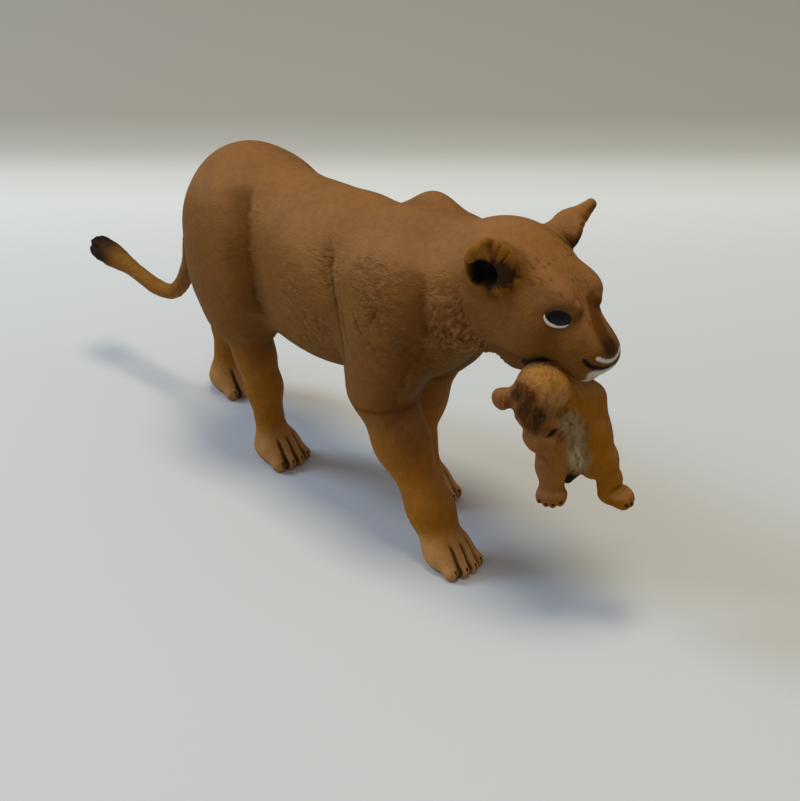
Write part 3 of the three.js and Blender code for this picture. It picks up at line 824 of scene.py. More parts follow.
@dataclass(frozen=True)
class Trunk:
    """Chest, belly and rump, with the neck."""

    length: float = 45.0
    hip_height: float = 48.0
    rump: tuple[float, float, float] = (24.2, 24.0, 26.0)
    loin_height: float = 46.8
    loin: tuple[float, float] = (22.0, 24.0)
    belly: tuple[float, float] = (20.0, 17.0)
    belly_sag: float = 11.0
    rib_height: float = 43.5
    ribs: tuple[float, float] = (27.0, 29.0)
    shoulder_height: float = 45.0
    shoulders: tuple[float, float, float] = (22.0, 25.0, 28.0)
    blade: tuple[float, float, float] = (10.2, 6.5, 12.0)
    blade_spacing: float = 7.0
    blade_rises: tuple[float, float] = (10.8, 12.6)
    haunch: tuple[float, float, float] = (20.0, 13.0, 28.0)
    haunch_place: tuple[float, float, float] = (2.9, 7.0, -7.0)
    shoulder_muscle: tuple[float, float, float] = (17.0, 8.4, 17.5)
    arm_muscle: tuple[float, float, float] = (14.0, 8.4, 17.0)
    arm_forward: tuple[float, float] = (0.9, -0.8)
    thigh_muscle: tuple[float, float, float] = (15.0, 7.0, 18.0)
    ridge_girth: float = 9.6
    neck_length: float = 25.0
    neck_rise: float = 11.0
    neck_girths: tuple[float, float, float] = (23.0, 19.2, 16.6)

    @property
    def hip(self) -> Array:
        """The middle of the hips."""
        return vec(-0.38 * self.length, 0, self.hip_height)

    @property
    def shoulder(self) -> Array:
        """The middle of the shoulders."""
        return vec(0.62 * self.length, 0, self.shoulder_height)

    @property
    def head_centre(self) -> Array:
        """The middle of the skull."""
        return self.shoulder + vec(self.neck_length, 0, self.neck_rise)

    def along(self, share: float, height: float) -> Array:
        """A point over the body's middle line, a share of the way from hips to shoulders."""
        return vec(mix(self.hip[0], self.shoulder[0], share), 0, height)

    def form(self) -> Form:
        """The trunk as five blended eggs, with shoulder blades, haunches and muscles.

        Returns:
            The form.
        """
        length = self.length
        core = Blend(
            7.0,
            Egg(self.hip, self.rump),
            Egg(self.along(0.34, self.loin_height), (length * 0.8, *self.loin)),
            Egg(self.along(0.43, self.loin_height - self.belly_sag), (length * 0.75, *self.belly)),
            Egg(self.along(0.68, self.rib_height), (length * 0.75, *self.ribs)),
            Egg(self.shoulder, self.shoulders),
            Limb(self.shoulder + vec(-14.0, 0, 7.65), self.shoulder + vec(0, 0, 8.5),
                 self.ridge_girth, self.ridge_girth),
        )
        blades = [
            Egg(self.shoulder + vec(0, side * self.blade_spacing / 2, rise), self.blade, -0.2)
            for side, rise in zip((-1, 1), self.blade_rises)
        ]
        haunch = Pair(Egg(self.hip + np.array(self.haunch_place), self.haunch, -0.2))
        return Blend(5.0, core, *blades, haunch, self.muscles())

    def muscles(self) -> Form:
        """Low swellings over the shoulder, the upper arm and the thigh, on both sides.

        Returns:
            The swellings as one form.
        """
        shoulder = Egg(self.shoulder + vec(1.6, 9.6, 3.85), self.shoulder_muscle, 0.12)
        arms = [
            Egg(self.shoulder + vec(forward, side * 9.6, -7.0), self.arm_muscle, -0.1)
            for side, forward in zip((-1, 1), self.arm_forward)
        ]
        thigh = Egg(self.hip + vec(4.5, 9.4, -9.0), self.thigh_muscle, 0.5)
        return Blend(2.2, Pair(shoulder), *arms, Pair(thigh))

    def neck(self, skull: Form) -> Form:
        """The neck as two limbs, blended into the skull.

        Args:
            skull: The head's form, which the neck runs into.

        Returns:
            The form.
        """
        root = self.shoulder + vec(0, 0, 0.14 * self.neck_rise)
        middle = mix(self.shoulder, self.head_centre, 0.6) + vec(0, 0, 1.2)
        nape = self.head_centre + vec(-6.0, 0, 0.5)
        return Blend(4.0, chain([root, middle, nape], self.neck_girths, 6.0), skull)


@dataclass(frozen=True)
class Ear:
    """One ear: an oval that tilts outwards, with a tip, on a base beside the skull."""

    side: int
    base: Array
    tilt: float
    inset: float
    tip: tuple[float, float, float]
    sizes: tuple[float, float, float]
    facing: tuple[float, float] = (0.36, 0.93)
    lean: float = 0.35
    root: tuple[float, float] = (3.0, 1.0)
    girths: tuple[float, float] = (6.4, 1.9)
    cup: tuple[float, float, float] = (1.0, 0.5, -1.5)
    hollow: tuple[float, float] = (2.9, 1.9)
    hole_radius: float = 2.5
    hollow_radius: float = 2.45

    @property
    def out(self) -> Array:
        """The direction that the ear faces."""
        out = vec(self.facing[0], self.side * self.facing[1], 0)
        return out / np.linalg.norm(out)

    @property
    def angles(self) -> tuple[float, float, float]:
        """Its pitch, yaw and roll."""
        return self.tilt, math.atan2(self.out[1], self.out[0]), self.side * self.lean

    def place(self, out: float, back: float, up: float) -> Array:
        """A place by its distances from the oval's middle along the ear's own axes."""
        pitch, yaw, roll = self.angles
        middle = self.base - self.out * self.inset
        return middle + turned(roll, pitch, yaw) @ vec(out, self.side * back, up)

    def form(self) -> Form:
        """The oval and its tip, with a shallow dish and a deep hole cut into the open side.

        Returns:
            The form.
        """
        thick, wide, high = self.sizes
        depth, drop = self.root
        root = self.base - self.out * depth - vec(0, 0, drop)
        tip = self.base + vec(self.tip[0], self.side * self.tip[1], self.tip[2])
        oval = Egg(self.place(0, 0, 0), self.sizes, *self.angles)
        leaf = Blend(1.0, oval, Limb(root, tip, *self.girths))
        dish = Egg(self.place(2.5, 0.0, -0.4), (thick, wide * 0.84, high * 0.78), *self.angles)
        hole = Egg(self.place(*self.cup), (5.4, 4.8, 4.6), *self.angles)
        return Hollow(0.8, Hollow(1.2, leaf, dish), hole)

    def marks(self, points: Array, normals: Array) -> tuple[Array, Array, Array, Array]:
        """Where the ear's paints go, by radius from the ear's and the cup's axes.

        Args:
            points: Places on the head.
            normals: The directions that the surface faces there.

        Returns:
            How much each place lies on the open side, how far it is from the hole and from the
            dark hollow before it as shares of their radii, and radial tufts, from -1.6 to 1.6.
        """
        pitch, yaw, roll = self.angles
        axes = turned(roll, pitch, yaw)
        local = (points - self.place(0, 0, 0)) @ axes
        radius = np.hypot(local[:, 1] / (self.sizes[1] / 2), local[:, 2] / (self.sizes[2] / 2))
        ahead = -self.side * local[:, 1] + self.cup[1]
        rise = local[:, 2] - self.cup[2]
        run, climb = self.hollow
        share = np.clip((ahead * run + rise * climb) / (run**2 + climb**2), 0, 1)
        hole = np.hypot(ahead, rise) / self.hole_radius
        inner = np.hypot(ahead - run * share, rise - climb * share) / self.hollow_radius
        turn = np.arctan2(rise - climb / 2, ahead - run / 2)
        polar = np.stack([np.cos(turn) * 9, np.sin(turn) * 9, inner * 0.8], -1)
        tuft = 0.8 * ripple(polar, 61) + 0.5 * ripple(polar * 0.4, 62)
        whole = (1 - smooth(radius, 1.1, 1.35)) * smooth(local[:, 0], -2.6, -1.4)
        open_side = whole * smooth(normals @ axes[:, 0], -0.35, 0.05)
        return open_side, hole, inner, tuft


@dataclass(frozen=True)
class Face:
    """Skull, brows, muzzle, jaw and ears."""

    centre: Array
    length: float = 20.0
    width: float = 18.0
    height: float = 17.0
    muzzle_length: float = 16.0
    muzzle_drop: float = 6.5
    muzzle_width: float = 9.4
    muzzle_depth: float = 7.0
    nose_width: float = 4.2
    brow_spacing: float = 6.8
    jaw_drop: float = 11.0
    jaw_length: float = 12.0
    jaw_girths: tuple[float, float] = (9.0, 5.6)
    ear_spacing: float = 20.0
    ear_rise: float = 6.4
    eyeball: tuple[float, float, float] = (2.6, 4.7, 3.8)
    eye_depth: float = 0.72
    left_eye_sunk: float = 0.22
    lid_girth: float = 0.54
    grip: tuple[float, float, float] = (7.0, 2.0, 12.5)

    def place(self, forward: float, left: float, up: float) -> Array:
        """A place in hundredths of the head's length, width and height."""
        sizes = vec(self.length, self.width, self.height)
        return self.centre + vec(forward, left, up) * sizes * HUNDREDTH

    @property
    def nose(self) -> Array:
        """The tip of the nose."""
        return self.centre + vec(self.muzzle_length, 0, -self.muzzle_drop)

    def lump(self, place: Array, sizes: Sequence[float], pitch: float = 0.0) -> Form:
        """An egg with sizes in hundredths of the head's."""
        head = (self.length, self.width, self.height)
        return Egg(place, [size * whole * HUNDREDTH for size, whole in zip(sizes, head)], pitch)

    def skull(self) -> Form:
        """The head without jaw and ears.

        Returns:
            The form of the skull.
        """
        nose = self.nose
        brow = self.place(41, 0, 12) + vec(0, self.brow_spacing / 2, 0)
        bridge_end = nose + vec(-0.22 * self.muzzle_length, 0, -0.1 * self.muzzle_drop)
        whiskers = mix(self.centre, nose, 0.69)
        whiskers = whiskers + vec(0, 0.23 * self.muzzle_width, -0.42 * self.muzzle_depth)
        pad = (0.56 * self.muzzle_length, 0.62 * self.muzzle_width, self.muzzle_depth)
        return Blend(
            3.0,
            self.lump(self.place(-6, 0, 4), (98, 97, 94), 0.3),
            Pair(self.lump(self.place(12, 26, -24), (65, 47, 70))),
            Pair(self.lump(brow, (31, 23, 25), 0.5)),
            Limb(self.place(15, 0, -6), bridge_end, 11.6, 6.8),
            Limb(self.place(20, 0, 3), nose - vec(self.nose_width / 2, 0, 0), 8.0, self.nose_width),
            Pair(Egg(whiskers, pad, 0.35)),
        )

    def jaw(self) -> Form:
        """The lower jaw."""
        hinge = self.place(-8, 0, 0) - vec(0, 0, self.jaw_drop)
        return Limb(hinge, hinge + vec(self.jaw_length, 0, 0), *self.jaw_girths)

    def ears(self) -> tuple[Ear, Ear]:
        """The right ear, nearly upright, and the left one, which leans further out.

        Returns:
            The two ears.
        """
        base = self.place(-4, 0, 0) + vec(0, 0, self.ear_rise)
        aside = vec(0, self.ear_spacing / 2, 0)
        return (
            Ear(-1, base - aside, tilt=0.1, inset=0.2, tip=(0.4, 1.3, 4.6), sizes=(3.8, 8.6, 9.8)),
            Ear(1, base + aside, tilt=0.6, inset=1.5, tip=(1.2, 3.0, 4.1), sizes=(3.7, 8.2, 8.0)),
        )

    def across(self) -> tuple[Array, Array, Array]:
        """The left eye's own directions: the way it looks, forwards along the lids, and up.

        Returns:
            Three directions of length 1.
        """
        look = vec(0.55, 0.75, 0.35)
        look = look / np.linalg.norm(look)
        along = np.cross(look, vec(0.08, 0.0, 1.0))
        along = along / np.linalg.norm(along)
        return look, along, np.cross(along, look)

    @property
    def eye(self) -> Array:
        """The middle of the left eye."""
        return self.centre + vec(9.35, 4.62, -0.6)

    @property
    def gaze(self) -> tuple[float, float]:
        """The pitch and the yaw of the left eye."""
        look, _, _ = self.across()
        return -math.asin(look[2]), math.atan2(look[1], look[0])

    @property
    def mouth_grip(self) -> Array:
        """Where the cub's scruff is held: behind the nose, to the right, below the skull."""
        back, right, below = self.grip
        return vec(self.nose[0] - back, self.nose[1] - right, self.centre[2] - below)

    def eyed(self, head: Form) -> Form:
        """A head with a socket for each eye under a heavy upper lid.

        Args:
            head: The form of the head.

        Returns:
            The form.
        """
        look, along, up = self.across()
        socket = Egg(self.eye + look * 0.9, (2.6, 4.6, 3.5), *self.gaze)
        inner = self.eye - along * 2.6 + up * 1.6 - look * 0.2
        outer = self.eye + along * 2.4 + up * 1.4 - look * 0.4
        return Blend(0.9, Hollow(0.5, head, Pair(socket)), Pair(Limb(inner, outer, 1.8, 1.7)))

    def eyeball_form(self) -> Form:
        """The left eyeball, set back into its socket."""
        look, _, _ = self.across()
        return Egg(self.eye - look * self.eye_depth, self.eyeball, *self.gaze)

    def lid(self, head: Form) -> Array:
        """The lower edge of the left eye: an arc of an ellipse, slid onto the head.

        Args:
            head: The form of the head.

        Returns:
            The places along the arc.
        """
        look, along, up = self.across()
        turn = np.linspace(math.radians(178), math.radians(318), 28)[:, None]
        path = self.eye + along * 2.3 * np.cos(turn) + up * 1.75 * np.sin(turn)
        path = path.astype(np.float32) + look * 0.3
        for _ in range(4):
            value, gradient = slope(head, path, 0.05)
            path = path - (gradient * value[:, None]).astype(np.float32)
        return path


@dataclass(frozen=True)
class Leg:
    """One leg, from the shoulder or the haunch to the sole."""

    name: str
    side: int
    root: Array
    step: float
    out: float
    joints: tuple[float, float]
    fore: bool
    spacing: float
    paw: tuple[float, float, float] = (10.0, 9.0, 6.4)
    toe: float = 3.6
    sink: float = 0.6
    # Heights of shoulder, elbow and wrist, and the girths there, with the forearm's as the third
    fore_heights: tuple[float, float, float] = (42.0, 30.0, 9.5)
    fore_girths: tuple[float, float, float, float] = (13.0, 10.5, 8.6, 6.8)
    # Heights of knee and hock, and the girths of knee, shank, hock and heel
    hind_heights: tuple[float, float] = (31.0, 15.5)
    hind_girths: tuple[float, float, float, float] = (11.0, 6.6, 6.0, 5.6)

    @property
    def sole(self) -> Array:
        """The middle of the sole."""
        return vec(self.root[0] + self.step, self.side * self.out, 0)

    def bones(self) -> Form:
        """The limb above the paw.

        Returns:
            The form of the limb.
        """
        sole, y = self.sole, self.side * self.out
        length, _, height = self.paw
        if self.fore:
            elbow_back, wrist_back = self.joints
            top_height, elbow_height, wrist_height = self.fore_heights
            top = vec(self.root[0], self.side * self.spacing / 2, top_height)
            elbow = vec(self.root[0] - elbow_back, mix(y, top[1], 0.5), elbow_height)
            wrist = vec(sole[0] - wrist_back, y, wrist_height)
            forearm = mix(elbow, wrist, 0.45) + vec(-0.6, 0, 0)
            heel = vec(sole[0] - 0.15 * length, y, height / 2)
            return chain([top, elbow, forearm, wrist, heel], [*self.fore_girths, height], 4.0)
        knee_forward, hock_back = self.joints
        knee_height, hock_height = self.hind_heights
        knee = vec(self.root[0] + knee_forward, self.side * self.spacing / 2, knee_height)
        hock = vec(sole[0] - hock_back, mix(y, knee[1], 0.3), hock_height)
        heel = vec(sole[0] - 0.2 * length, y, height / 2)
        return chain([knee, mix(knee, hock, 0.6), hock, heel], self.hind_girths, 3.0)

    def toes(self) -> list[tuple[Array, Array]]:
        """The knuckle and the tip of each of the four toes.

        Returns:
            Four pairs of places.
        """
        length, width, _ = self.paw
        found = []
        for place in (-1.5, -0.5, 0.5, 1.5):
            out = place * width / 4.2
            reach = length / 2 - abs(place) * length / 14 - self.toe / 4
            knuckle = self.sole + vec(reach - 0.3 * length, out * 0.8, self.toe * 0.8)
            tip = self.sole + vec(reach, out, self.toe / 2 - self.sink)
            found.append((knuckle, tip))
        return found

    def clefts(self, points: Array) -> Array:
        """How deep in a cleft between two toes each place lies, from 0 to 1.

        The clefts fan out from behind the knuckles: each is a soft peak across the paw, whose
        middle moves outwards with the distance from the heel.

        Args:
            points: The places.

        Returns:
            The depth at each place.
        """
        length, width, height = self.paw
        ahead, aside = (points - self.sole)[:, :2].T
        spread = 0.8 + 0.04 * ahead
        below = 1 - smooth(points[:, 2], 0.8 * height, height)
        reach = smooth(ahead, -0.02 * length, 0.24 * length) * below
        peaks = [bell(aside / spread - place * width / 3.9, 0.27) for place in (-1, 0, 1)]
        return np.clip(sum(peaks), 0, 1) * reach

    def form(self) -> Form:
        """The leg and its paw.

        Returns:
            The form.
        """
        length, width, height = self.paw
        middle = self.sole + vec(-0.6, 0, height / 2 - self.sink)
        pad = Egg(middle, (length * 0.82, width * 0.88, height))
        toes = []
        for knuckle, tip in self.toes():
            bent = knuckle + vec(-0.3, 0, 0.5)
            toes.append(chain([knuckle - vec(2.2, 0, -0.3), bent, tip], [2.0, 2.5, 2.7], 0.8))
        foot = Blend(1.4, pad, Blend(0.25, *toes))
        return Blend(3.0, self.bones(), foot)


@dataclass
class Surface:
    """A skin on its way to becoming a piece: its points, quads, normals, coat and hair mask."""

    points: Array
    quads: Array
    normals: Array
    coat: Array
    fur: Array

    @classmethod
    def of(cls, form: Form, low: Array, high: Array, cell: float) -> "Surface":
        """The bare skin of a form in a region.

        Args:
            form: The solid.
            low: The region's lowest corner.
            high: The region's highest corner.
            cell: The pitch of the skin.

        Returns:
            The surface.
        """
        points, quads, normals = skin(form, low, high, cell)
        made = cls.bare(points, quads)
        made.normals = normals
        return made

    @classmethod
    def bare(cls, points: Array, quads: Array) -> "Surface":
        """An unpainted surface, whose normals come from its quads.

        Args:
            points: The places.
            quads: The quads as point numbers.

        Returns:
            The surface.
        """
        coat = np.repeat(Pigment.TAN.colour[None], len(points), axis=0)
        made = cls(points, quads, points * 0, coat, np.zeros(len(points)))
        made.turn_normals()
        return made

    def raise_by(self, height: Array) -> None:
        """Moves each point along its normal."""
        self.points = self.points + self.normals * height[:, None].astype(np.float32)
        self.turn_normals()

    def turn_normals(self) -> None:
        """Sets each normal to the sum of its quads' facings, (c - a) x (d - b), at length 1."""
        a, b, c, d = (self.points[self.quads[:, k]] for k in range(4))
        facing = np.cross(c - a, d - b)
        total = np.zeros((len(self.points), 3))
        for k in range(4):
            for axis in range(3):
                total[:, axis] += np.bincount(self.quads[:, k], facing[:, axis], len(self.points))
        size = np.linalg.norm(total, axis=1, keepdims=True)
        self.normals = (total / np.maximum(size, TINY)).astype(np.float32)

    def brush(self, paint: Pigment, cover: Array) -> None:
        """Brushes a paint over the coat."""
        self.coat = brushed(self.coat, paint, cover)

    def depth(self, form: Form, reach: float) -> Array:
        """How hollow the surface is, from 0 to 1: 1 - d(p + h n) / h for a reach h."""
        return np.clip(1 - form.distance(self.points + self.normals * reach) / reach, 0, 1)

    def piece(self, name: str, slot: str, material: bpy.types.Material) -> bpy.types.Object:
        """The finished mesh object."""
        values = {"paint": self.coat, "fur": self.fur}
        return made_object(name, self.points, self.quads, slot, material, values)


@dataclass(frozen=True)
class Fold:
    """A carved fold in the side view, from its top corner down, with soft painted shade on one side.

    At each place the fold's own X is read off its corners at the same height. The groove is a
    soft peak of the difference, and painted shade runs backwards from the fold over its spread.
    """

    corners: tuple[tuple[float, float], ...]
    width: float
    depth: float
    # How dark the groove is painted, as stain and painted shade; the cover of painted shade behind the
    # fold, and how far back it spreads.
    stain_and_shade: float = 0.3
    painted_shade: float = 0.0
    spread: float = 3.0

    def behind(self, points: Array) -> Array:
        """How far behind the fold each place lies, swayed a little by noise."""
        x, z = np.array(self.corners[::-1]).T
        sway = 0.5 * ripple(points / 2.6, 3)
        return np.interp(points[:, 2], z, x) + sway - points[:, 0]

    def span(self, points: Array) -> Array:
        """1 between the fold's ends, fading out beyond them."""
        height = points[:, 2]
        top, low = self.corners[0][1], self.corners[-1][1]
        return smooth(height, low - 1.0, low + 0.8) * (1 - smooth(height, top - 1.6, top + 1.0))

    def groove(self, points: Array) -> Array:
        """The strength of the groove at each point, on both sides of the body."""
        uneven = 0.6 + 0.5 * ripple(points / 0.9, 5)
        return bell(self.behind(points), self.width) * self.span(points) * np.clip(uneven, 0.15, 1)

    def cover(self, points: Array) -> Array:
        """The painted shade: full just behind the fold, fading backwards."""
        gap = self.behind(points)
        faded = smooth(gap, -0.5, 0.7) * (1 - smooth(gap, 0.8, self.spread))
        return self.painted_shade * faded * self.span(points)


# Before the thigh, behind the shoulder, before the shoulder, and three short ones on the shoulder
FOLDS = (
    Fold(((-8.4, 57.2), (-6.5, 54.8), (-5.1, 51.3), (-4.3, 47.4), (-3.2, 43.5), (-2.7, 38.9),
          (-2.2, 35.4)), 0.6, 0.28, 0.15, 0.8, 7.0),
    Fold(((14.6, 54.8), (16.6, 51.8), (18.6, 48.4), (20.6, 45.2), (22.0, 42.2), (22.6, 38.6),
          (22.2, 35.2)), 0.5, 0.35, 0.4, 0.45, 3.4),
    Fold(((36.8, 57.0), (38.9, 55.0), (39.8, 50.4), (39.2, 46.1), (37.2, 40.9), (35.4, 36.6),
          (33.2, 31.0), (32.0, 27.6)), 0.6, 0.26, 0.2, 0.65, 6.0),
    Fold(((31.4, 49.4), (30.9, 47.6), (29.9, 45.4)), 0.3, 0.35, 0.4, 0.2, 1.2),
    Fold(((25.7, 47.0), (26.9, 45.4), (28.4, 43.6)), 0.3, 0.35, 0.4, 0.2, 1.2),
    Fold(((22.4, 46.2), (23.2, 43.6), (24.6, 40.6)), 0.3, 0.3, 0.3, 0.2, 1.2),
)

# Where the flanks carry carved hair: X, Z, radius and strength
TUFTED = (
    (29.5, 54.5, 5.5, 1.0), (31.0, 47.5, 5.5, 0.8), (15.8, 51.5, 4.4, 0.9), (19.4, 49.5, 3.0, 0.8),
    (9.0, 44.5, 4.6, 0.6), (13.4, 37.5, 6.0, 0.95), (41.6, 53.5, 3.6, 0.9), (35.0, 40.0, 6.0, 0.5),
    (-9.4, 45.0, 4.0, 0.3), (-5.0, 56.5, 4.0, 0.35), (24.5, 58.5, 3.0, 0.4),
)

# Brushed in this order on both sides of the face: a painted highlight on the brow, painted shade on the
# cheek, nose, lip, mouth line, chin, jaws
FACE_DAUBS = (
    Daub(Pigment.BACK_TAN, ((58.6, 6.2, 58.4), (62.5, 4.4, 58.2)), 2.2, 0.6),
    Daub(Pigment.WASH, ((60.5, 4.6, 49.5), (64.0, 4.0, 48.5), (66.5, 3.6, 50.5)), 3.6, 0.7),
    Daub(Pigment.DARK_UMBER, ((68.9, 0.6, 51.6), (69.8, 0.6, 50.4)), 1.1, 0.8),
    Daub(Pigment.OFF_WHITE, ((69.0, 2.7, 49.6), (69.6, 1.5, 48.9), (69.8, 0.0, 48.6)), 0.36, 0.9,
         (0.25, 0.6)),
    Daub(Pigment.BLACK, ((67.6, 4.3, 49.2), (68.4, 3.8, 48.4), (69.0, 2.7, 47.9), (69.3, 0.0, 47.4)),
         0.46, 0.95, (0.25, 0.6)),
    Daub(Pigment.OFF_WHITE, ((64.6, 1.7, 43.3), (66.4, 1.2, 44.4), (68.2, 2.6, 46.6), (68.7, 0.0, 46.2)),
         1.25, 0.75, (0.25, 0.7)),
    Daub(Pigment.DARK_UMBER, ((54.9, 3.6, 44.3), (58.0, 3.6, 45.8), (62.0, 3.2, 45.4)), 0.9, 0.85,
         (0.2, 0.7)),
)

# Dark paint and painted shade on the right slope of the nose's bridge
BRIDGE_PAINT_AND_SHADE = Daub(
    Pigment.UMBER,
    ((64.1, 1.5, 56.7), (65.2, 0.9, 54.9), (66.7, 0.2, 53.5), (68.2, -0.2, 52.1), (69.3, -0.1, 50.7)),
    1.6, 0.8, (0.25, 0.75),
)


@dataclass(frozen=True)
class Tail:
    """The tail: a curve that hangs from the rump and turns up at the tuft."""

    root: Array
    lowest: float = 21.8
    reach: float = 39.5
    rise: float = 3.4
    girths: tuple[float, float] = (5.0, 3.1)
    tuft_girth: float = 1.9
    # How far back and how far down the hanging part has come, in hundredths
    hanging: tuple[tuple[float, float], ...] = (
        (-3, 0), (6.5, 13), (14.5, 32), (17.5, 52), (21.5, 74), (33, 95), (48, 100),
    )
    turn: tuple[float, float] = (0.71, 0.47)
    peg: tuple[float, float] = (3.0, 0.5)

    def path(self, count: int) -> Array:
        """The middle line from inside the rump to the tip, as a smooth curve.

        Args:
            count: The number of stations.

        Returns:
            The places, from the one inside the rump on.
        """
        x, y, z = self.root
        corners = [
            vec(x - self.reach * back * HUNDREDTH, y, mix(z, self.lowest, down * HUNDREDTH))
            for back, down in self.hanging
        ]
        back, up = self.turn
        corners.append(vec(x - self.reach * back, y, self.lowest + self.rise * up))
        corners.append(vec(x - self.reach, y, self.lowest + self.rise))
        curve = spline(np.array(corners), count)
        inside = curve[0] + vec(self.peg[0], 0, self.peg[1])
        return np.concatenate([[inside], curve]).astype(np.float32)

    def girth(self, count: int) -> Array:
        """The girth along the path: even from half way on, thicker at the tuft, round at its end.

        Args:
            count: The number of stations.

        Returns:
            One girth per place of the path.
        """
        share = np.linspace(0, 1, count)
        girth = mix(*self.girths, np.minimum(1, 2 * share))
        girth = girth + smooth(share, 0.78, 0.93) * self.tuft_girth
        girth = girth * np.sqrt(1 - np.clip((share - 0.95) / 0.0505, 0, 1) ** 2)
        return np.concatenate([[self.peg[0]], girth])


class Lioness:
    """The lioness: her forms, the castings cut from them, and how each is carved and painted."""

    SLOT = "lioness_paint"
    NECK_SEAM = 8.5
    LEG_SEAM = 26.5
    SLEEVE_SLOPE = 0.12
    SLEEVE_STEEP = 1.007
    SLEEVE_DROP = 24.66
    SLEEVE_HEIGHT = 24.8
    OVERLAP = 0.5
    MIDRIFF = 6.0
    LEG_TOP = 32.0
    TORSO_PITCH = 0.34
    HEAD_PITCH = 0.21
    EYE_PITCH = 0.22
    LEG_PITCH = 0.25

    def __init__(self, fine: float) -> None:
        """Args: fine, a factor on the pitch of every skin; 1 for the full detail."""
        self.fine = fine
        self.trunk = Trunk()
        self.face = Face(self.trunk.head_centre)
        hip, shoulder = self.trunk.hip, self.trunk.shoulder
        self.legs = (
            Leg("right_foreleg", -1, shoulder, 14.3, 7.2, (2.6, 5.0), True, 16.0),
            Leg("left_foreleg", 1, shoulder, -4.0, 6.6, (5.4, 4.6), True, 16.0),
            Leg("right_hind_leg", -1, hip, 10.5, 3.8, (5.5, 3.0), False, 15.0),
            Leg("left_hind_leg", 1, hip, -17.5, 8.4, (1.0, 0.5), False, 15.0),
        )
        head = self.trunk.neck(self.face.skull())
        self.body = Blend(2.0, Blend(5.0, self.trunk.form(), head), self.face.jaw())
        self.hide = Blend(4.0, self.body, *[leg.form() for leg in self.legs])
        self.finish = VinylFinish("lioness_vinyl").material()

    def torso_form(self) -> Form:
        """The torso: the hide behind the neck seam and over the sleeves of the legs.

        Returns:
            The form.
        """
        sleeve = Beyond(vec(self.SLEEVE_SLOPE, 0, -1) / self.SLEEVE_STEEP, -self.SLEEVE_DROP)
        hind = Beyond(vec(0, 0, -1), -self.LEG_SEAM)
        front, back = Beyond(vec(-1, 0, 0), -self.MIDRIFF), Beyond(vec(1, 0, 0), self.MIDRIFF)
        above = Blend(0.3, self.body, Common(sleeve, front), Common(hind, back))
        neck = Beyond(vec(1, 0, 0), self.face.centre[0] - self.NECK_SEAM + self.OVERLAP)
        return Common(self.hide, above, neck)

    def head_form(self) -> Form:
        """The head: the hide before the neck seam, with ears and sockets for the eyes."""
        neck = Beyond(vec(-1, 0, 0), -(self.face.centre[0] - self.NECK_SEAM - self.OVERLAP))
        ears = [ear.form() for ear in self.face.ears()]
        return Common(Blend(0.5, self.face.eyed(self.body), *ears), neck)

    def fur_of_trunk(self, skin_: Surface) -> tuple[Array, Array, Array]:
        """Hair over neck, trunk and upper legs.

        Locks run along the body on the flanks, down the neck in the ruff and down the legs; the
        back and the rump are nearly smooth.

        Args:
            skin_: The surface that is carved.

        Returns:
            The height in millimetres, and how deep in a groove and how high on a lock each
            point lies. The surface's own hair mask is set too.
        """
        p, n = skin_.points, skin_.normals
        x, y, z = p.T
        side = smooth(np.abs(n[:, 1]), 0.15, 0.5)
        top = smooth(n[:, 2], 0.5, 0.92)
        collar = smooth(x, 38.5, 41.0) * (1 - smooth(x + 0.25 * (z - 50), 47.0, 49.5))
        collar = collar * (1 - smooth(z, 54.5, 58.0)) * smooth(z, 29.0, 32.0)
        ruff = collar * np.maximum(side, smooth(-n[:, 2], 0.0, 0.4))
        face = smooth(x, 47.0, 50.0)
        low = 1 - smooth(z - 0.08 * x, 26.0, 27.5)
        patchy = 0.12 + sum(rate * bell(np.hypot(x - px, z - pz), size) for px, pz, size, rate in TUFTED)
        patchy = np.clip(patchy * (0.75 + 0.6 * ripple(p / 2.2, 3)), 0.04, 1)
        flank = (1 - 0.9 * top) * (1 - ruff) * (1 - face) * (1 - low) * patchy
        belly = smooth(-n[:, 2], -0.1, 0.4) * (1 - low) * (1 - ruff)
        along = strokes(p @ turned(0, 0.1, 0), vec(1.0, 0.36, 0.3), 11)
        down = strokes(p @ turned(0, 0.5, 0), vec(0.32, 0.32, 1.3), 23)
        legs = strokes(p, vec(0.6, 0.6, 1.9), 31)
        throat = ruff * (1 + 0.5 * smooth(-n[:, 2], 0.0, 0.5))
        weights = (
            (along, np.clip(flank + 0.2 * belly, 0, 1), 0.09), (down, throat, 0.13),
            (legs, low, 0.018), (along, face, 0.02),
        )
        skin_.fur = np.clip(0.25 + 0.9 * flank + 0.6 * ruff, 0, 1)
        height = sum(value * mask * size for value, mask, size in weights)
        masks = [(value, mask * min(1.0, size * 7)) for value, mask, size in weights]
        groove = sum(np.clip(-value, 0, 1) * mask for value, mask in masks)
        ridge = sum(np.clip(value * 1.7, 0, 1) * mask for value, mask in masks)
        return height, groove, ridge

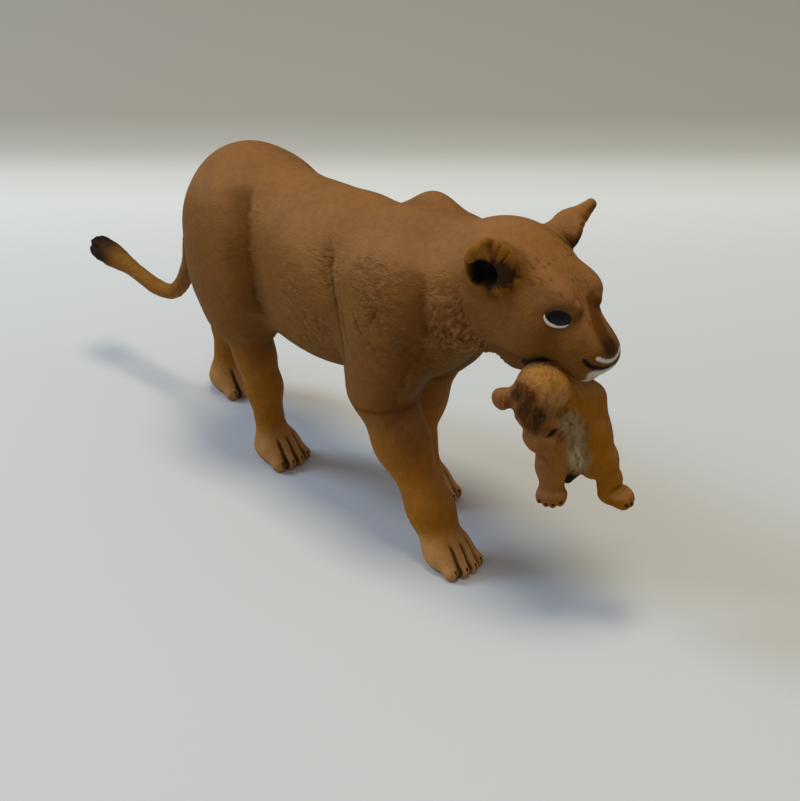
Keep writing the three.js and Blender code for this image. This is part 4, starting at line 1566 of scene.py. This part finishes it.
    def paint_hide(self, skin_: Surface, groove: Array, ridge: Array, form: Form) -> None:
        """Brushes the coat in painted light and shade: warm tan above, rosy brown sides, olive below,
        umber in the hollows.

        Args:
            skin_: The surface that is painted.
            groove: How deep in a groove of the hair each point lies.
            ridge: How high on a lock it lies.
            form: The solid, which tells how hollow the surface is.
        """
        p, n = skin_.points, skin_.normals
        up = n[:, 2]
        # Painted light and shade by facing: lighter tan on tops, darker rosy brown on the sides, olive on
        # the undersides and umber on the forward faces.
        skin_.brush(Pigment.BACK_TAN, smooth(up, 0.1, 0.7))
        skin_.brush(Pigment.ROSE_TAN, (1 - smooth(np.abs(up), 0.25, 0.6)) * 0.7)
        skin_.brush(Pigment.OLIVE, smooth(-up, 0.1, 0.7) * 0.8)
        skin_.brush(Pigment.UMBER, smooth(n[:, 0], 0.35, 0.95) * (1 - smooth(up, 0.3, 0.7)) * 0.45)
        low = 1 - smooth(p[:, 2], 16.0, 29.0)
        skin_.brush(Pigment.SHIN, low * 0.6)
        paw = 1 - smooth(p[:, 2], 3.0, 9.0)
        skin_.brush(Pigment.PAW, paw * 0.75)
        # Painted shade in the broad and the tight hollows, less of it on the paws.
        wide = skin_.depth(form, 4.0)
        tight = skin_.depth(form, 1.3)
        skin_.brush(Pigment.UMBER, smooth(wide, 0.15, 0.65) * (0.7 - 0.5 * paw))
        skin_.brush(Pigment.DARK_UMBER, smooth(tight, 0.15, 0.6) * (0.7 - 0.3 * paw))
        # Painted shade in the hair's grooves and a painted highlight on its locks.
        skin_.brush(Pigment.UMBER, groove * 0.42)
        skin_.brush(Pigment.DRY_TAN, ridge * 0.2)

    def torso(self) -> bpy.types.Object:
        """The torso, carved with creases and hair.

        Returns:
            The object.
        """
        form = self.torso_form()
        made = Surface.of(form, vec(-32, -17, 23), vec(46, 17, 67), self.TORSO_PITCH * self.fine)
        p = made.points
        side = smooth(np.abs(p[:, 1]), 2.0, 5.5)
        height, groove, ridge = self.fur_of_trunk(made)
        grooves = [fold.groove(p) * side for fold in FOLDS]
        made.raise_by(height - sum(fold.depth * carved for fold, carved in zip(FOLDS, grooves)))
        self.paint_hide(made, groove, ridge, form)
        # Painted shade behind each fold, and umber in its groove as stain and painted shade.
        for fold, carved in zip(FOLDS, grooves):
            made.brush(Pigment.WASH, fold.cover(p) * side)
            made.brush(Pigment.UMBER, carved * fold.stain_and_shade * 1.4)
        return made.piece("torso_skin", self.SLOT, self.finish)

    def head(self) -> bpy.types.Object:
        """The head with its ears, carved and painted.

        Returns:
            The object.
        """
        form = self.head_form()
        made = Surface.of(form, vec(42, -14, 36), vec(72, 14, 71), self.HEAD_PITCH * self.fine)
        height, groove, ridge = self.fur_of_trunk(made)
        made.raise_by(height)
        self.paint_hide(made, groove, ridge, form)
        self.paint_ears(made)
        self.paint_face(made)
        return made.piece("head_skin", self.SLOT, self.finish)

    def paint_ears(self, made: Surface) -> None:
        """Ochre rims with radial tufts, a brown hollow and a black hole.

        Args:
            made: The surface of the head.
        """
        for ear in self.face.ears():
            open_side, hole, inner, tuft = ear.marks(made.points, made.normals)
            hollow = 1 - smooth(inner + 0.35 * tuft, 0.75, 1.35)
            made.raise_by(open_side * smooth(inner, 0.7, 1.3) * tuft * 0.15)
            made.brush(Pigment.OCHRE, open_side * 0.7)
            made.brush(Pigment.UMBER, open_side * smooth(-tuft, -0.1, 0.7) * 0.7)
            made.brush(Pigment.DARK_UMBER, open_side * hollow * 0.92)
            made.brush(Pigment.BLACK, open_side * (1 - smooth(hole + 0.15 * tuft, 0.7, 1.1)))

    def paint_face(self, made: Surface) -> None:
        """Painted light on the top of the head and the brows, painted shade on the cheeks, dark paint and
        painted shade down the nose, dark mouth, white lips and chin.

        Args:
            made: The surface of the head.
        """
        p = made.points * vec(1, 0, 1) + np.abs(made.points) * vec(0, 1, 0)
        n = made.normals
        # Painted light: ochre on the upward faces of the head.
        made.brush(Pigment.OCHRE, smooth(n[:, 2], 0.3, 0.9) * smooth(p[:, 0], 50.0, 54.0) * 0.2)
        # A painted highlight on the brows and painted shade on the cheeks.
        for daub in FACE_DAUBS[:2]:
            made.brush(daub.paint, daub.strength(p))
        # Dark paint and painted shade on the right slope of the nose.
        made.brush(BRIDGE_PAINT_AND_SHADE.paint, BRIDGE_PAINT_AND_SHADE.strength(made.points))
        for daub in FACE_DAUBS[2:]:
            made.brush(daub.paint, daub.strength(p))
        flecks = smooth(ripple(p * vec(0.9, 2.4, 1.1), 71), 0.35, 0.6) * smooth(n[:, 2], 0.4, 0.7)
        made.brush(Pigment.UMBER, flecks * smooth(p[:, 0], 54.0, 57.0) * 0.5)

    def on_both_sides(self, name: str, points: Array, quads: Array, material: bpy.types.Material) -> None:
        """A piece and its mirror image in one object; the left one is sunk a little deeper.

        Args:
            name: The piece's name.
            points: The points of the left one.
            quads: Its quads.
            material: Its material.
        """
        look, _, _ = self.face.across()
        left = points - look * self.face.left_eye_sunk
        both = np.concatenate([left, points * vec(1, -1, 1)])
        faces = np.concatenate([quads, quads[:, ::-1] + len(points)])
        made_object(name, both, faces, self.SLOT, material)

    def eyes(self, gloss: bpy.types.Material, white: bpy.types.Material) -> None:
        """Both eyeballs, under gloss varnish, and the pale lower lids.

        Args:
            gloss: The material of the eyeballs.
            white: The material of the lids.
        """
        face = self.face
        around = vec(3, 3, 3)
        ball = face.eyeball_form()
        points, quads, _ = skin(ball, face.eye - around, face.eye + around, self.EYE_PITCH)
        self.on_both_sides("eyeballs", points, quads, gloss)
        path = face.lid(self.body)
        t = np.linspace(-1, 1, len(path))
        points, quads = tube(path, face.lid_girth * np.sqrt(1 - 0.97 * t**2), 10)
        self.on_both_sides("eyelids", points, quads, white)

    def leg(self, leg: Leg) -> bpy.types.Object:
        """One leg, from inside its sleeve to the sole.

        Args:
            leg: The leg.

        Returns:
            The object.
        """
        form = Common(leg.form(), Beyond(vec(0, 0, 1), self.LEG_TOP), Beyond(vec(0, 0, -1), 0.0))
        hind, fore = sorted((leg.sole[0], leg.root[0]))
        right, left = sorted((leg.side * 14.0, 0.0))
        low, high = vec(hind - 12, right - 3, -1), vec(fore + 12, left + 3, self.LEG_TOP + 2)
        made = Surface.of(form, low, high, self.LEG_PITCH * self.fine)
        height, groove, ridge = self.fur_of_trunk(made)
        sole = smooth(made.points[:, 2], 0.2, 1.0)
        clefts = leg.clefts(made.points)
        made.raise_by(height * sole - 0.6 * clefts * sole)
        made.fur = np.full(len(made.points), 0.35)
        self.paint_hide(made, groove, ridge, form)
        # Painted shade in the clefts between the toes.
        made.brush(Pigment.UMBER, np.sqrt(clefts) * 0.3)
        made.brush(Pigment.DARK_UMBER, smooth(clefts, 0.35, 0.95) * 0.85)
        if leg.fore:
            made.brush(Pigment.PAW, (1 - smooth(made.points[:, 2], 2.0, 7.0)) * (1 - clefts) * 0.55)
            seam = made.points[:, 2] - self.SLEEVE_SLOPE * made.points[:, 0] - self.SLEEVE_HEIGHT
            # A dark line under the sleeve's edge: the dark joint, with painted shade under the edge.
            made.brush(Pigment.UMBER, bell(seam + 0.4, 0.45) * 0.6)
        return made.piece(f"{leg.name}_skin", self.SLOT, self.finish)

    def claws(self, leg: Leg, material: bpy.types.Material) -> bpy.types.Object:
        """Four claws, each a tapered curve over the front of its toe.

        Args:
            leg: The leg.
            material: The material.

        Returns:
            The object.
        """
        parts, faces = [], []
        t = np.linspace(0, 1, 7)
        for number, (_, tip) in enumerate(leg.toes()):
            height = np.maximum(tip[2] + 0.85 - 1.2 * t**1.4, 0.25)
            path = np.stack([tip[0] + 0.95 + 0.4 * t, np.full(len(t), tip[1]), height], -1)
            points, quads = tube(path, mix(0.6, 0.2, t), 8)
            parts.append(points)
            faces.append(quads + number * len(points))
        points, quads = np.concatenate(parts), np.concatenate(faces)
        return made_object(f"{leg.name}_claws", points, quads, self.SLOT, material)

    def tail(self) -> bpy.types.Object:
        """The tail: rings carried along its curve, with a shaggy dark tuft.

        Returns:
            The object.
        """
        tail = Tail(vec(self.trunk.hip[0] - 11.0, 0, 53.0))
        stations = 260 if self.fine == 1 else 130
        points, quads = tube(tail.path(stations), tail.girth(stations), 72)
        made = Surface.bare(points, quads)
        shag = smooth(-made.points[:, 0], 60.0, 64.0)
        hair = strokes(made.points, vec(1.6, 0.6, 0.6), 41)
        locks = strokes(made.points, vec(4.2, 0.9, 0.9), 43)
        made.raise_by(hair * 0.045 * (1 - shag) + locks * 0.3 * shag)
        made.fur = np.full(len(made.points), 0.5)
        self.paint_hide(made, np.clip(-hair, 0, 1) * 0.3, np.clip(hair, 0, 1) * 0.2, self.body)
        dark = smooth(-made.points[:, 0], 57.0, 63.5)
        made.brush(Pigment.DARK_UMBER, dark * 0.9)
        # Black tuft paint, deepest in the grooves between the locks as painted shade.
        made.brush(Pigment.BLACK, shag * np.clip(0.5 - locks, 0, 1) * 0.8)
        return made.piece("tail_skin", self.SLOT, self.finish)


def spline(corners: Array, count: int) -> Array:
    """A smooth curve through some points, evenly spaced.

    Each stretch is a cubic whose end slopes are half the span of the neighbours; the points are
    then spread by equal length.

    Args:
        corners: The points to pass through.
        count: The number of places wanted.

    Returns:
        The places.
    """
    padded = np.concatenate([[2 * corners[0] - corners[1]], corners, [2 * corners[-1] - corners[-2]]])
    t = np.linspace(0, 1, 40, endpoint=False)[:, None]
    rows = []
    for a, b, c, d in zip(padded, padded[1:], padded[2:], padded[3:]):
        rows.append(b + 0.5 * t * (c - a + t * (2 * a - 5 * b + 4 * c - d + t * (3 * (b - c) + d - a))))
    dense = np.concatenate([*rows, corners[-1:]])
    run = np.concatenate([[0], np.cumsum(np.linalg.norm(np.diff(dense, axis=0), axis=1))])
    wanted = np.linspace(0, run[-1], count)
    return np.stack([np.interp(wanted, run, dense[:, axis]) for axis in range(3)], -1)


FACE_LINE = ((59.3, -10.6, 42.6), (61.6, -10.6, 42.4), (60.8, -11.0, 40.0), (63.3, -10.3, 40.2),
             (62.6, -10.5, 37.9))

# Brushed in this order: crown, cheek, throat, temple, the dark face twice, in dark paint and painted
# shade, and the eye
CUB_HEAD_DAUBS = (
    Daub(Pigment.CUB_STRAW, ((60.9, -8.5, 46.8), (63.7, -7.7, 46.4), (65.2, -6.6, 45.3)), 2.6, 0.85,
         (0.2, 0.8), clumps=0.12),
    Daub(Pigment.CUB_LIGHT, ((64.1, -9.4, 43.8), (65.6, -8.0, 43.0), (66.4, -6.2, 43.2)), 1.3, 0.9,
         (0.2, 0.8), clumps=0.1),
    Daub(Pigment.OLIVE, ((65.4, -7.6, 40.2), (65.8, -6.3, 38.6)), 1.3, 0.7),
    Daub(Pigment.UMBER, ((58.4, -10.0, 43.8), (60.8, -10.4, 44.6)), 0.9, 0.7, (0.5, 1.0), clumps=0.35),
    Daub(Pigment.UMBER, FACE_LINE, 1.9, 0.92, (0.12, 0.7), clumps=0.12),
    Daub(Pigment.DARK_UMBER, FACE_LINE, 1.9, 0.7, (0.55, 1.1), clumps=0.15, broad=0.25),
    Daub(Pigment.BLACK, ((63.3, -10.1, 40.3), (64.1, -9.5, 40.0)), 0.3, 0.8, (0.2, 0.8)),
)

# The belly fur, its pale lower part, in pale paint with a painted highlight, and the painted shade beside
# it
CUB_BELLY = Daub(
    Pigment.CUB_GREY, ((66.1, -5.4, 38.3), (66.9, -4.8, 35.0), (67.2, -4.0, 31.0), (66.9, -3.9, 29.2)),
    2.2, 1.0, (0.2, 0.9), clumps=0.25, broad=0.15,
)
CUB_BELLY_DAUBS = (
    Daub(Pigment.CUB_PALE, ((66.8, -4.4, 32.4), (66.8, -4.0, 30.4)), 1.6, 0.8, (0.3, 0.9)),
    Daub(Pigment.UMBER, ((68.1, -3.6, 37.0), (68.2, -3.2, 33.5)), 0.8, 0.5),
)

# The strength of the line between the lips, which is carved as well as painted
CUB_MOUTH = Daub(Pigment.BLACK, ((64.1, -8.7, 35.9), (64.5, -8.0, 36.3), (64.9, -7.0, 36.9)), 0.22, 1.0)


@dataclass(frozen=True)
class Cub:
    """The cub, which hangs by its scruff from the right of the mouth."""

    grip: Array
    length: float = 22.0
    crown: tuple[float, float, float] = (9.8, 8.6, 8.4)
    face: tuple[float, float, float] = (7.6, 6.8, 8.0)
    muzzle: tuple[float, float, float] = (5.2, 5.0, 4.5)
    jaw: tuple[float, float, float] = (5.0, 4.8, 4.4)
    cheek: tuple[float, float, float] = (6.4, 5.6, 6.4)
    ear: tuple[float, float, float] = (3.6, 2.6, 3.8)
    ear_root: tuple[float, float] = (4.2, 2.9)
    scruff: tuple[float, float] = (4.6, 6.0)
    trunk: tuple[float, float, float] = (7.0, 7.2, 5.4)
    flank: tuple[float, float, float] = (5.6, 5.6, 5.4)
    hind_leg: tuple[float, float, float] = (4.8, 3.8, 3.5)
    haunch: tuple[float, float, float] = (3.4, 3.4, 3.0)
    foreleg: tuple[float, float, float] = (6.0, 5.0, 4.2)
    tail: tuple[float, float] = (4.0, 1.6)
    pad: tuple[float, float, float] = (5.0, 5.0, 3.4)
    toe: tuple[float, float, float] = (3.0, 1.5, 2.3)
    pitch: float = 0.16
    nail_lift: tuple[float, float, float] = (0.4, -0.4, 0.35)

    SLOT = "cub_paint"

    def place(self, forward: float, left: float, up: float) -> Array:
        """A place in hundredths of the cub's length from the grip."""
        return self.grip + vec(forward, left, up) * self.length * HUNDREDTH

    def feet(self) -> tuple[tuple[Array, Array], tuple[Array, Array]]:
        """Heel and tip of the right paw and of the left one."""
        place = self.place
        return (place(38, 13, -88), place(49, 20, -94)), (place(6, -15, -86), place(11, -24, -92))

    def toes(self, heel: Array, tip: Array) -> list[Array]:
        """The middles of a paw's four toes, side by side across its front.

        Args:
            heel: The middle of the heel.
            tip: The middle of the toes.

        Returns:
            The four middles.
        """
        along = (tip - heel) / np.linalg.norm(tip - heel)
        side = np.cross(along, vec(0, 0, 1))
        places = (-1.5, -0.5, 0.5, 1.5)
        return [tip + side * place * 1.35 - along * abs(place) * 0.55 for place in places]

    def paw(self, heel: Array, tip: Array) -> Form:
        """A plump paw with its toes, all turned the way that it points.

        Args:
            heel: The middle of the heel.
            tip: The middle of the toes.

        Returns:
            The form.
        """
        along = (tip - heel) / np.linalg.norm(tip - heel)
        turn = (-math.asin(along[2]), math.atan2(along[1], along[0]))
        toes = [Egg(middle, self.toe, *turn) for middle in self.toes(heel, tip)]
        return Blend(0.45, Egg(mix(heel, tip, 0.5), self.pad), Blend(0.06, *toes))

    def head(self) -> Form:
        """Crown, face, muzzle, jaw and ear.

        Returns:
            The form.
        """
        place = self.place
        return Blend(
            1.2,
            Egg(place(-3, -19, -3), self.crown),
            Egg(place(-5, -26, -18), self.face),
            Egg(place(5, -26, -42), self.muzzle),
            Egg(place(-1, -27, -40), self.jaw),
            Egg(place(4, -15, -26), self.cheek),
            Blend(0.8, Egg(place(-28, -38, -15), self.ear),
                  Limb(place(-13, -28, -8), place(-24, -35, -13), *self.ear_root)),
        )

    def form(self) -> Form:
        """The whole cub.

        Returns:
            The form.
        """
        place = self.place
        right_foot, left_foot = self.feet()
        spine = [place(9, 0, -16), place(12, 2, -42), place(13, 0, -64)]
        flank = [place(17, 9, -15), place(22.5, 7, -41), place(30, 10, -62)]
        body = Blend(
            2.0,
            Limb(place(1, -4, 8), place(5, -4, -6), *self.scruff),
            *[Limb(*link) for link in zip(spine, spine[1:], self.trunk, self.trunk[1:])],
            *[Limb(*link) for link in zip(flank, flank[1:], self.flank, self.flank[1:])],
        )
        right_joints = [place(31, 11, -61), place(36, 14, -79), place(36, 13, -90)]
        left_joints = [place(5, -16, -48), place(6, -18, -66), place(7, -18, -80)]
        right = Blend(0.8, chain(right_joints, self.hind_leg, 1.2),
                      Egg(place(28, 4, -70), self.haunch), self.paw(*right_foot))
        left = Blend(0.8, chain(left_joints, self.foreleg, 1.2), self.paw(*left_foot))
        tail = Limb(place(15, 6, -66), place(9, -2, -83), *self.tail)
        return Blend(0.5, self.head(), Blend(1.0, body, right, left, tail))

    def nails(self, points: Array) -> Array:
        """The cover of a dark nail on each toe: a soft peak about a short line along the toe.

        Args:
            points: The places.

        Returns:
            The cover at each place.
        """
        lift = vec(*self.nail_lift)
        total = np.zeros(len(points))
        for heel, tip in self.feet():
            ahead = (tip - heel) / np.linalg.norm(tip - heel)
            for toe in self.toes(heel, tip):
                line = [toe + ahead * 0.8 + lift, toe + ahead * 1.3 + lift]
                total = np.maximum(total, smooth(near_path(points, line, 0.34), 0.25, 0.7))
        return total

    def build(self, fine: float) -> bpy.types.Object:
        """The carved and painted cub.

        Args:
            fine: A factor on the pitch of its skin.

        Returns:
            The object.
        """
        form, place = self.form(), self.place
        low = self.grip - vec(0.6, 0.65, 1.15) * self.length
        high = self.grip + vec(0.6, 0.6, 0.4) * self.length
        made = Surface.of(form, low, high, self.pitch * fine)
        p = made.points
        hair = strokes(p, vec(0.5, 0.5, 1.1), 51)
        clumps = ripple(p / vec(0.9, 0.9, 1.4), 53)
        broad = ripple(p / 2.1, 55)
        head = near_path(p, [place(-3, -19, -3), place(-5, -26, -18)], 5.0)
        mouth = CUB_MOUTH.strength(p)
        belly = CUB_BELLY.strength(p, clumps, broad)
        rough = np.clip(0.25 + head + belly, 0, 1)
        made.raise_by(hair * 0.09 * rough + clumps * 0.11 * rough - mouth * 0.3)
        made.fur = 0.3 + 0.5 * rough
        made.coat = made.coat * 0 + Pigment.CUB_ORANGE.colour
        near = smooth(-p[:, 1] - 0.4 * (p[:, 0] - self.grip[0]), 4.0, 6.5)
        made.brush(Pigment.CUB_ROSE, near * (0.6 + 0.2 * broad))
        # Painted light: the upward faces lighter.
        made.brush(Pigment.CUB_LIGHT, smooth(made.normals[:, 2], 0.2, 0.8) * 0.8)
        # Painted shade in the broad hollows.
        made.brush(Pigment.UMBER, smooth(made.depth(form, 3.0), 0.15, 0.6) * 0.7)
        for daub in CUB_HEAD_DAUBS:
            made.brush(daub.paint, daub.strength(p, clumps, broad))
        made.brush(CUB_BELLY.paint, belly * (0.85 + 0.15 * broad))
        for daub in CUB_BELLY_DAUBS:
            made.brush(daub.paint, daub.strength(p))
        tail = near_path(p, [place(14, 5, -70), place(9, -2, -85)], 1.9)
        made.brush(Pigment.DARK_UMBER, smooth(tail, 0.25, 0.6) * 0.95)
        # Painted shade in the tight hollows.
        made.brush(Pigment.DARK_UMBER, smooth(made.depth(form, 1.0), 0.15, 0.6) * 0.8)
        made.brush(CUB_MOUTH.paint, smooth(mouth, 0.2, 0.8) * 0.85)
        # Painted shade in the hair's grooves and a painted highlight on its locks.
        made.brush(Pigment.UMBER, np.clip(-hair, 0, 1) * rough * 0.35)
        made.brush(Pigment.CUB_STRAW, np.clip(hair, 0, 1) * rough * 0.25)
        made.brush(Pigment.BLACK, self.nails(p) * 0.9)
        finish = VinylFinish("cub_vinyl", stroke=(0.4, 0.4, 0.8), mottle=0.1)
        return made.piece("cub_skin", self.SLOT, finish.material())


@dataclass(frozen=True)
class Lamp:
    """A square soft lamp that faces the figure: place and size in metres, power in watts."""

    name: str
    place: tuple[float, float, float]
    size: float
    power: float
    colour: tuple[float, float, float]
    aim: tuple[float, float, float] = (0.0, 0.0, 0.03)

    def build(self) -> None:
        """Adds the lamp to the scene."""
        data = bpy.data.lights.new(self.name, "AREA")
        data.shape = "SQUARE"
        data.size = self.size
        data.energy = self.power
        data.color = self.colour
        made = bpy.data.objects.new(self.name, data)
        made.location = self.place
        line = Vector(self.aim) - Vector(self.place)
        made.rotation_euler = line.to_track_quat("-Z", "Y").to_euler()
        bpy.context.scene.collection.objects.link(made)


@dataclass(frozen=True)
class Studio:
    """Floor, soft light and camera. The floor's sizes are metres, the camera's millimetres."""

    azimuth: float = 45.0
    elevation: float = 29.0
    distance: float = 330.0
    target: tuple[float, float, float] = (31.5, -9.3, 30.0)
    focal: float = 1914.0
    picture: float = 800.0
    sensor: float = 36.0
    clip: tuple[float, float] = (0.01, 20.0)
    ambient: float = 0.33
    lamps: tuple[Lamp, ...] = (
        Lamp("overhead", (0.03, 0.0, 0.9), 0.28, 4.0, (1.0, 0.93, 0.7)),
        Lamp("window", (-0.62, -0.34, 0.56), 0.3, 3.9, (0.56, 0.77, 1.0)),
    )
    floor_reach: float = 1.4
    floor_bend: float = 0.5
    floor_half_width: float = 1.8
    wall: tuple[float, float] = (0.6, 2.0)
    # The paper's colour from under the figure to the far wall, over the distance behind it
    paper: tuple[tuple[float, tuple[float, float, float]], ...] = (
        (0.04, (0.61, 0.61, 0.62)), (0.095, (0.66, 0.66, 0.67)), (0.13, (0.74, 0.735, 0.73)),
        (0.149, (0.67, 0.65, 0.62)), (0.165, (0.47, 0.45, 0.41)), (0.19, (0.37, 0.34, 0.3)),
    )

    def towards_camera(self) -> Array:
        """The direction from the target to the camera."""
        a, e = math.radians(self.azimuth), math.radians(self.elevation)
        return vec(math.sin(a) * math.cos(e), -math.cos(a) * math.cos(e), math.sin(e))

    def away(self) -> Array:
        """The level direction from the camera past the figure."""
        away = -self.towards_camera() * vec(1, 1, 0)
        return away / np.linalg.norm(away)

    def camera(self) -> None:
        """The camera at the photograph's viewing angle."""
        data = bpy.data.cameras.new("view")
        data.sensor_fit = "HORIZONTAL"
        data.sensor_width = self.sensor
        data.lens = self.focal * self.sensor / self.picture
        data.clip_start, data.clip_end = self.clip
        made = bpy.data.objects.new("view", data)
        bpy.context.scene.collection.objects.link(made)
        back = self.towards_camera()
        made.location = Vector((np.array(self.target) + SHIFT + back * self.distance) * MM)
        made.rotation_euler = Vector(-back).to_track_quat("-Z", "Y").to_euler()
        bpy.context.scene.camera = made

    def floor(self) -> bpy.types.Object:
        """A pale floor that curves up far behind: a profile carried sideways.

        The profile runs level, then up a quarter of a circle, then straight up.

        Returns:
            The object.
        """
        reach, bend = self.floor_reach, self.floor_bend
        arc = np.linspace(0, np.pi / 2, 24)
        level = np.stack([np.linspace(-reach, reach, 30), np.zeros(30)], -1)
        rise = np.stack([reach + bend * np.sin(arc), bend - bend * np.cos(arc)], -1)[1:]
        wall = np.stack([np.full(6, reach + bend), np.linspace(*self.wall, 6)], -1)
        profile = np.concatenate([level, rise, wall])
        across = np.linspace(-self.floor_half_width, self.floor_half_width, 24)
        away = self.away()
        side = np.array([away[1], -away[0], 0])
        points = (profile[:, None, :1] * away + across[None, :, None] * side
                  + profile[:, None, 1:] * np.array([0, 0, 1]))
        rows, columns = points.shape[:2]
        i, j = np.meshgrid(np.arange(rows - 1), np.arange(columns - 1), indexing="ij")
        first = (i * columns + j).ravel()
        faces = np.stack([first, first + 1, first + columns + 1, first + columns], -1)
        mesh = bpy.data.meshes.new("floor")
        mesh.from_pydata(points.reshape(-1, 3).tolist(), [], faces.tolist())
        mesh.polygons.foreach_set("use_smooth", np.ones(len(faces), dtype=bool))
        material = bpy.data.materials.new("floor_paper")
        material.use_nodes = True
        shader = material.node_tree.nodes["Principled BSDF"]
        self.fade(material.node_tree, shader)
        shader.inputs["Roughness"].default_value = 0.75
        shader.inputs["Specular IOR Level"].default_value = 0.2
        mesh.materials.append(material)
        made = bpy.data.objects.new("floor", mesh)
        bpy.context.scene.collection.objects.link(made)
        return made

    def fade(self, tree: bpy.types.NodeTree, shader: bpy.types.Node) -> None:
        """Lets the floor's paper go from pale to a duller grey far behind the figure.

        Args:
            tree: The nodes of the floor's material.
            shader: Its shader, which gets the colour.
        """
        place = tree.nodes.new("ShaderNodeTexCoord")
        run = tree.nodes.new("ShaderNodeVectorMath")
        run.operation = "DOT_PRODUCT"
        run.inputs[1].default_value = tuple(self.away())
        ramp = tree.nodes.new("ShaderNodeValToRGB")
        stops = ramp.color_ramp.elements
        while len(stops) < len(self.paper):
            stops.new(1.0)
        for stop, (position, colour) in zip(stops, self.paper):
            stop.position = position
            stop.color = (*colour, 1)
        tree.links.new(place.outputs["Object"], run.inputs[0])
        tree.links.new(run.outputs["Value"], ramp.inputs["Fac"])
        tree.links.new(ramp.outputs["Color"], shader.inputs["Base Color"])

    def light(self) -> None:
        """The lamps and an even white ambient light."""
        world = bpy.data.worlds.new("studio")
        world.use_nodes = True
        ground = world.node_tree.nodes["Background"]
        ground.inputs["Color"].default_value = (1.0, 1.0, 1.0, 1)
        ground.inputs["Strength"].default_value = self.ambient
        bpy.context.scene.world = world
        for lamp in self.lamps:
            lamp.build()


HALF_SEAM_GAP = 0.15


def main() -> None:
    """Builds the camera, the light, the floor and the figure."""
    bpy.context.scene.view_settings.view_transform = "Standard"
    fine = 1.0
    lioness = Lioness(fine)
    face = lioness.face
    SHIFT[0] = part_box("torso")[1][0] / MM - (face.centre[0] - lioness.NECK_SEAM - HALF_SEAM_GAP)
    studio = Studio()
    studio.camera()
    studio.light()
    studio.floor()
    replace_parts(lioness.torso(), "torso")
    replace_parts(lioness.head(), "head")
    horn = GlossFinish("horn", Pigment.DARK_UMBER, 0.4).material()
    lioness.eyes(GlossFinish("eye_gloss", Pigment.BLACK, 0.2).material(),
                 GlossFinish("lid_white", Pigment.OFF_WHITE, 0.5).material())
    for leg in lioness.legs:
        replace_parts(lioness.leg(leg), leg.name)
        lioness.claws(leg, horn)
    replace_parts(lioness.tail(), "tail")
    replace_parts(Cub(face.mouth_grip).build(fine), "cub")


if __name__ == "__main__":
    main()
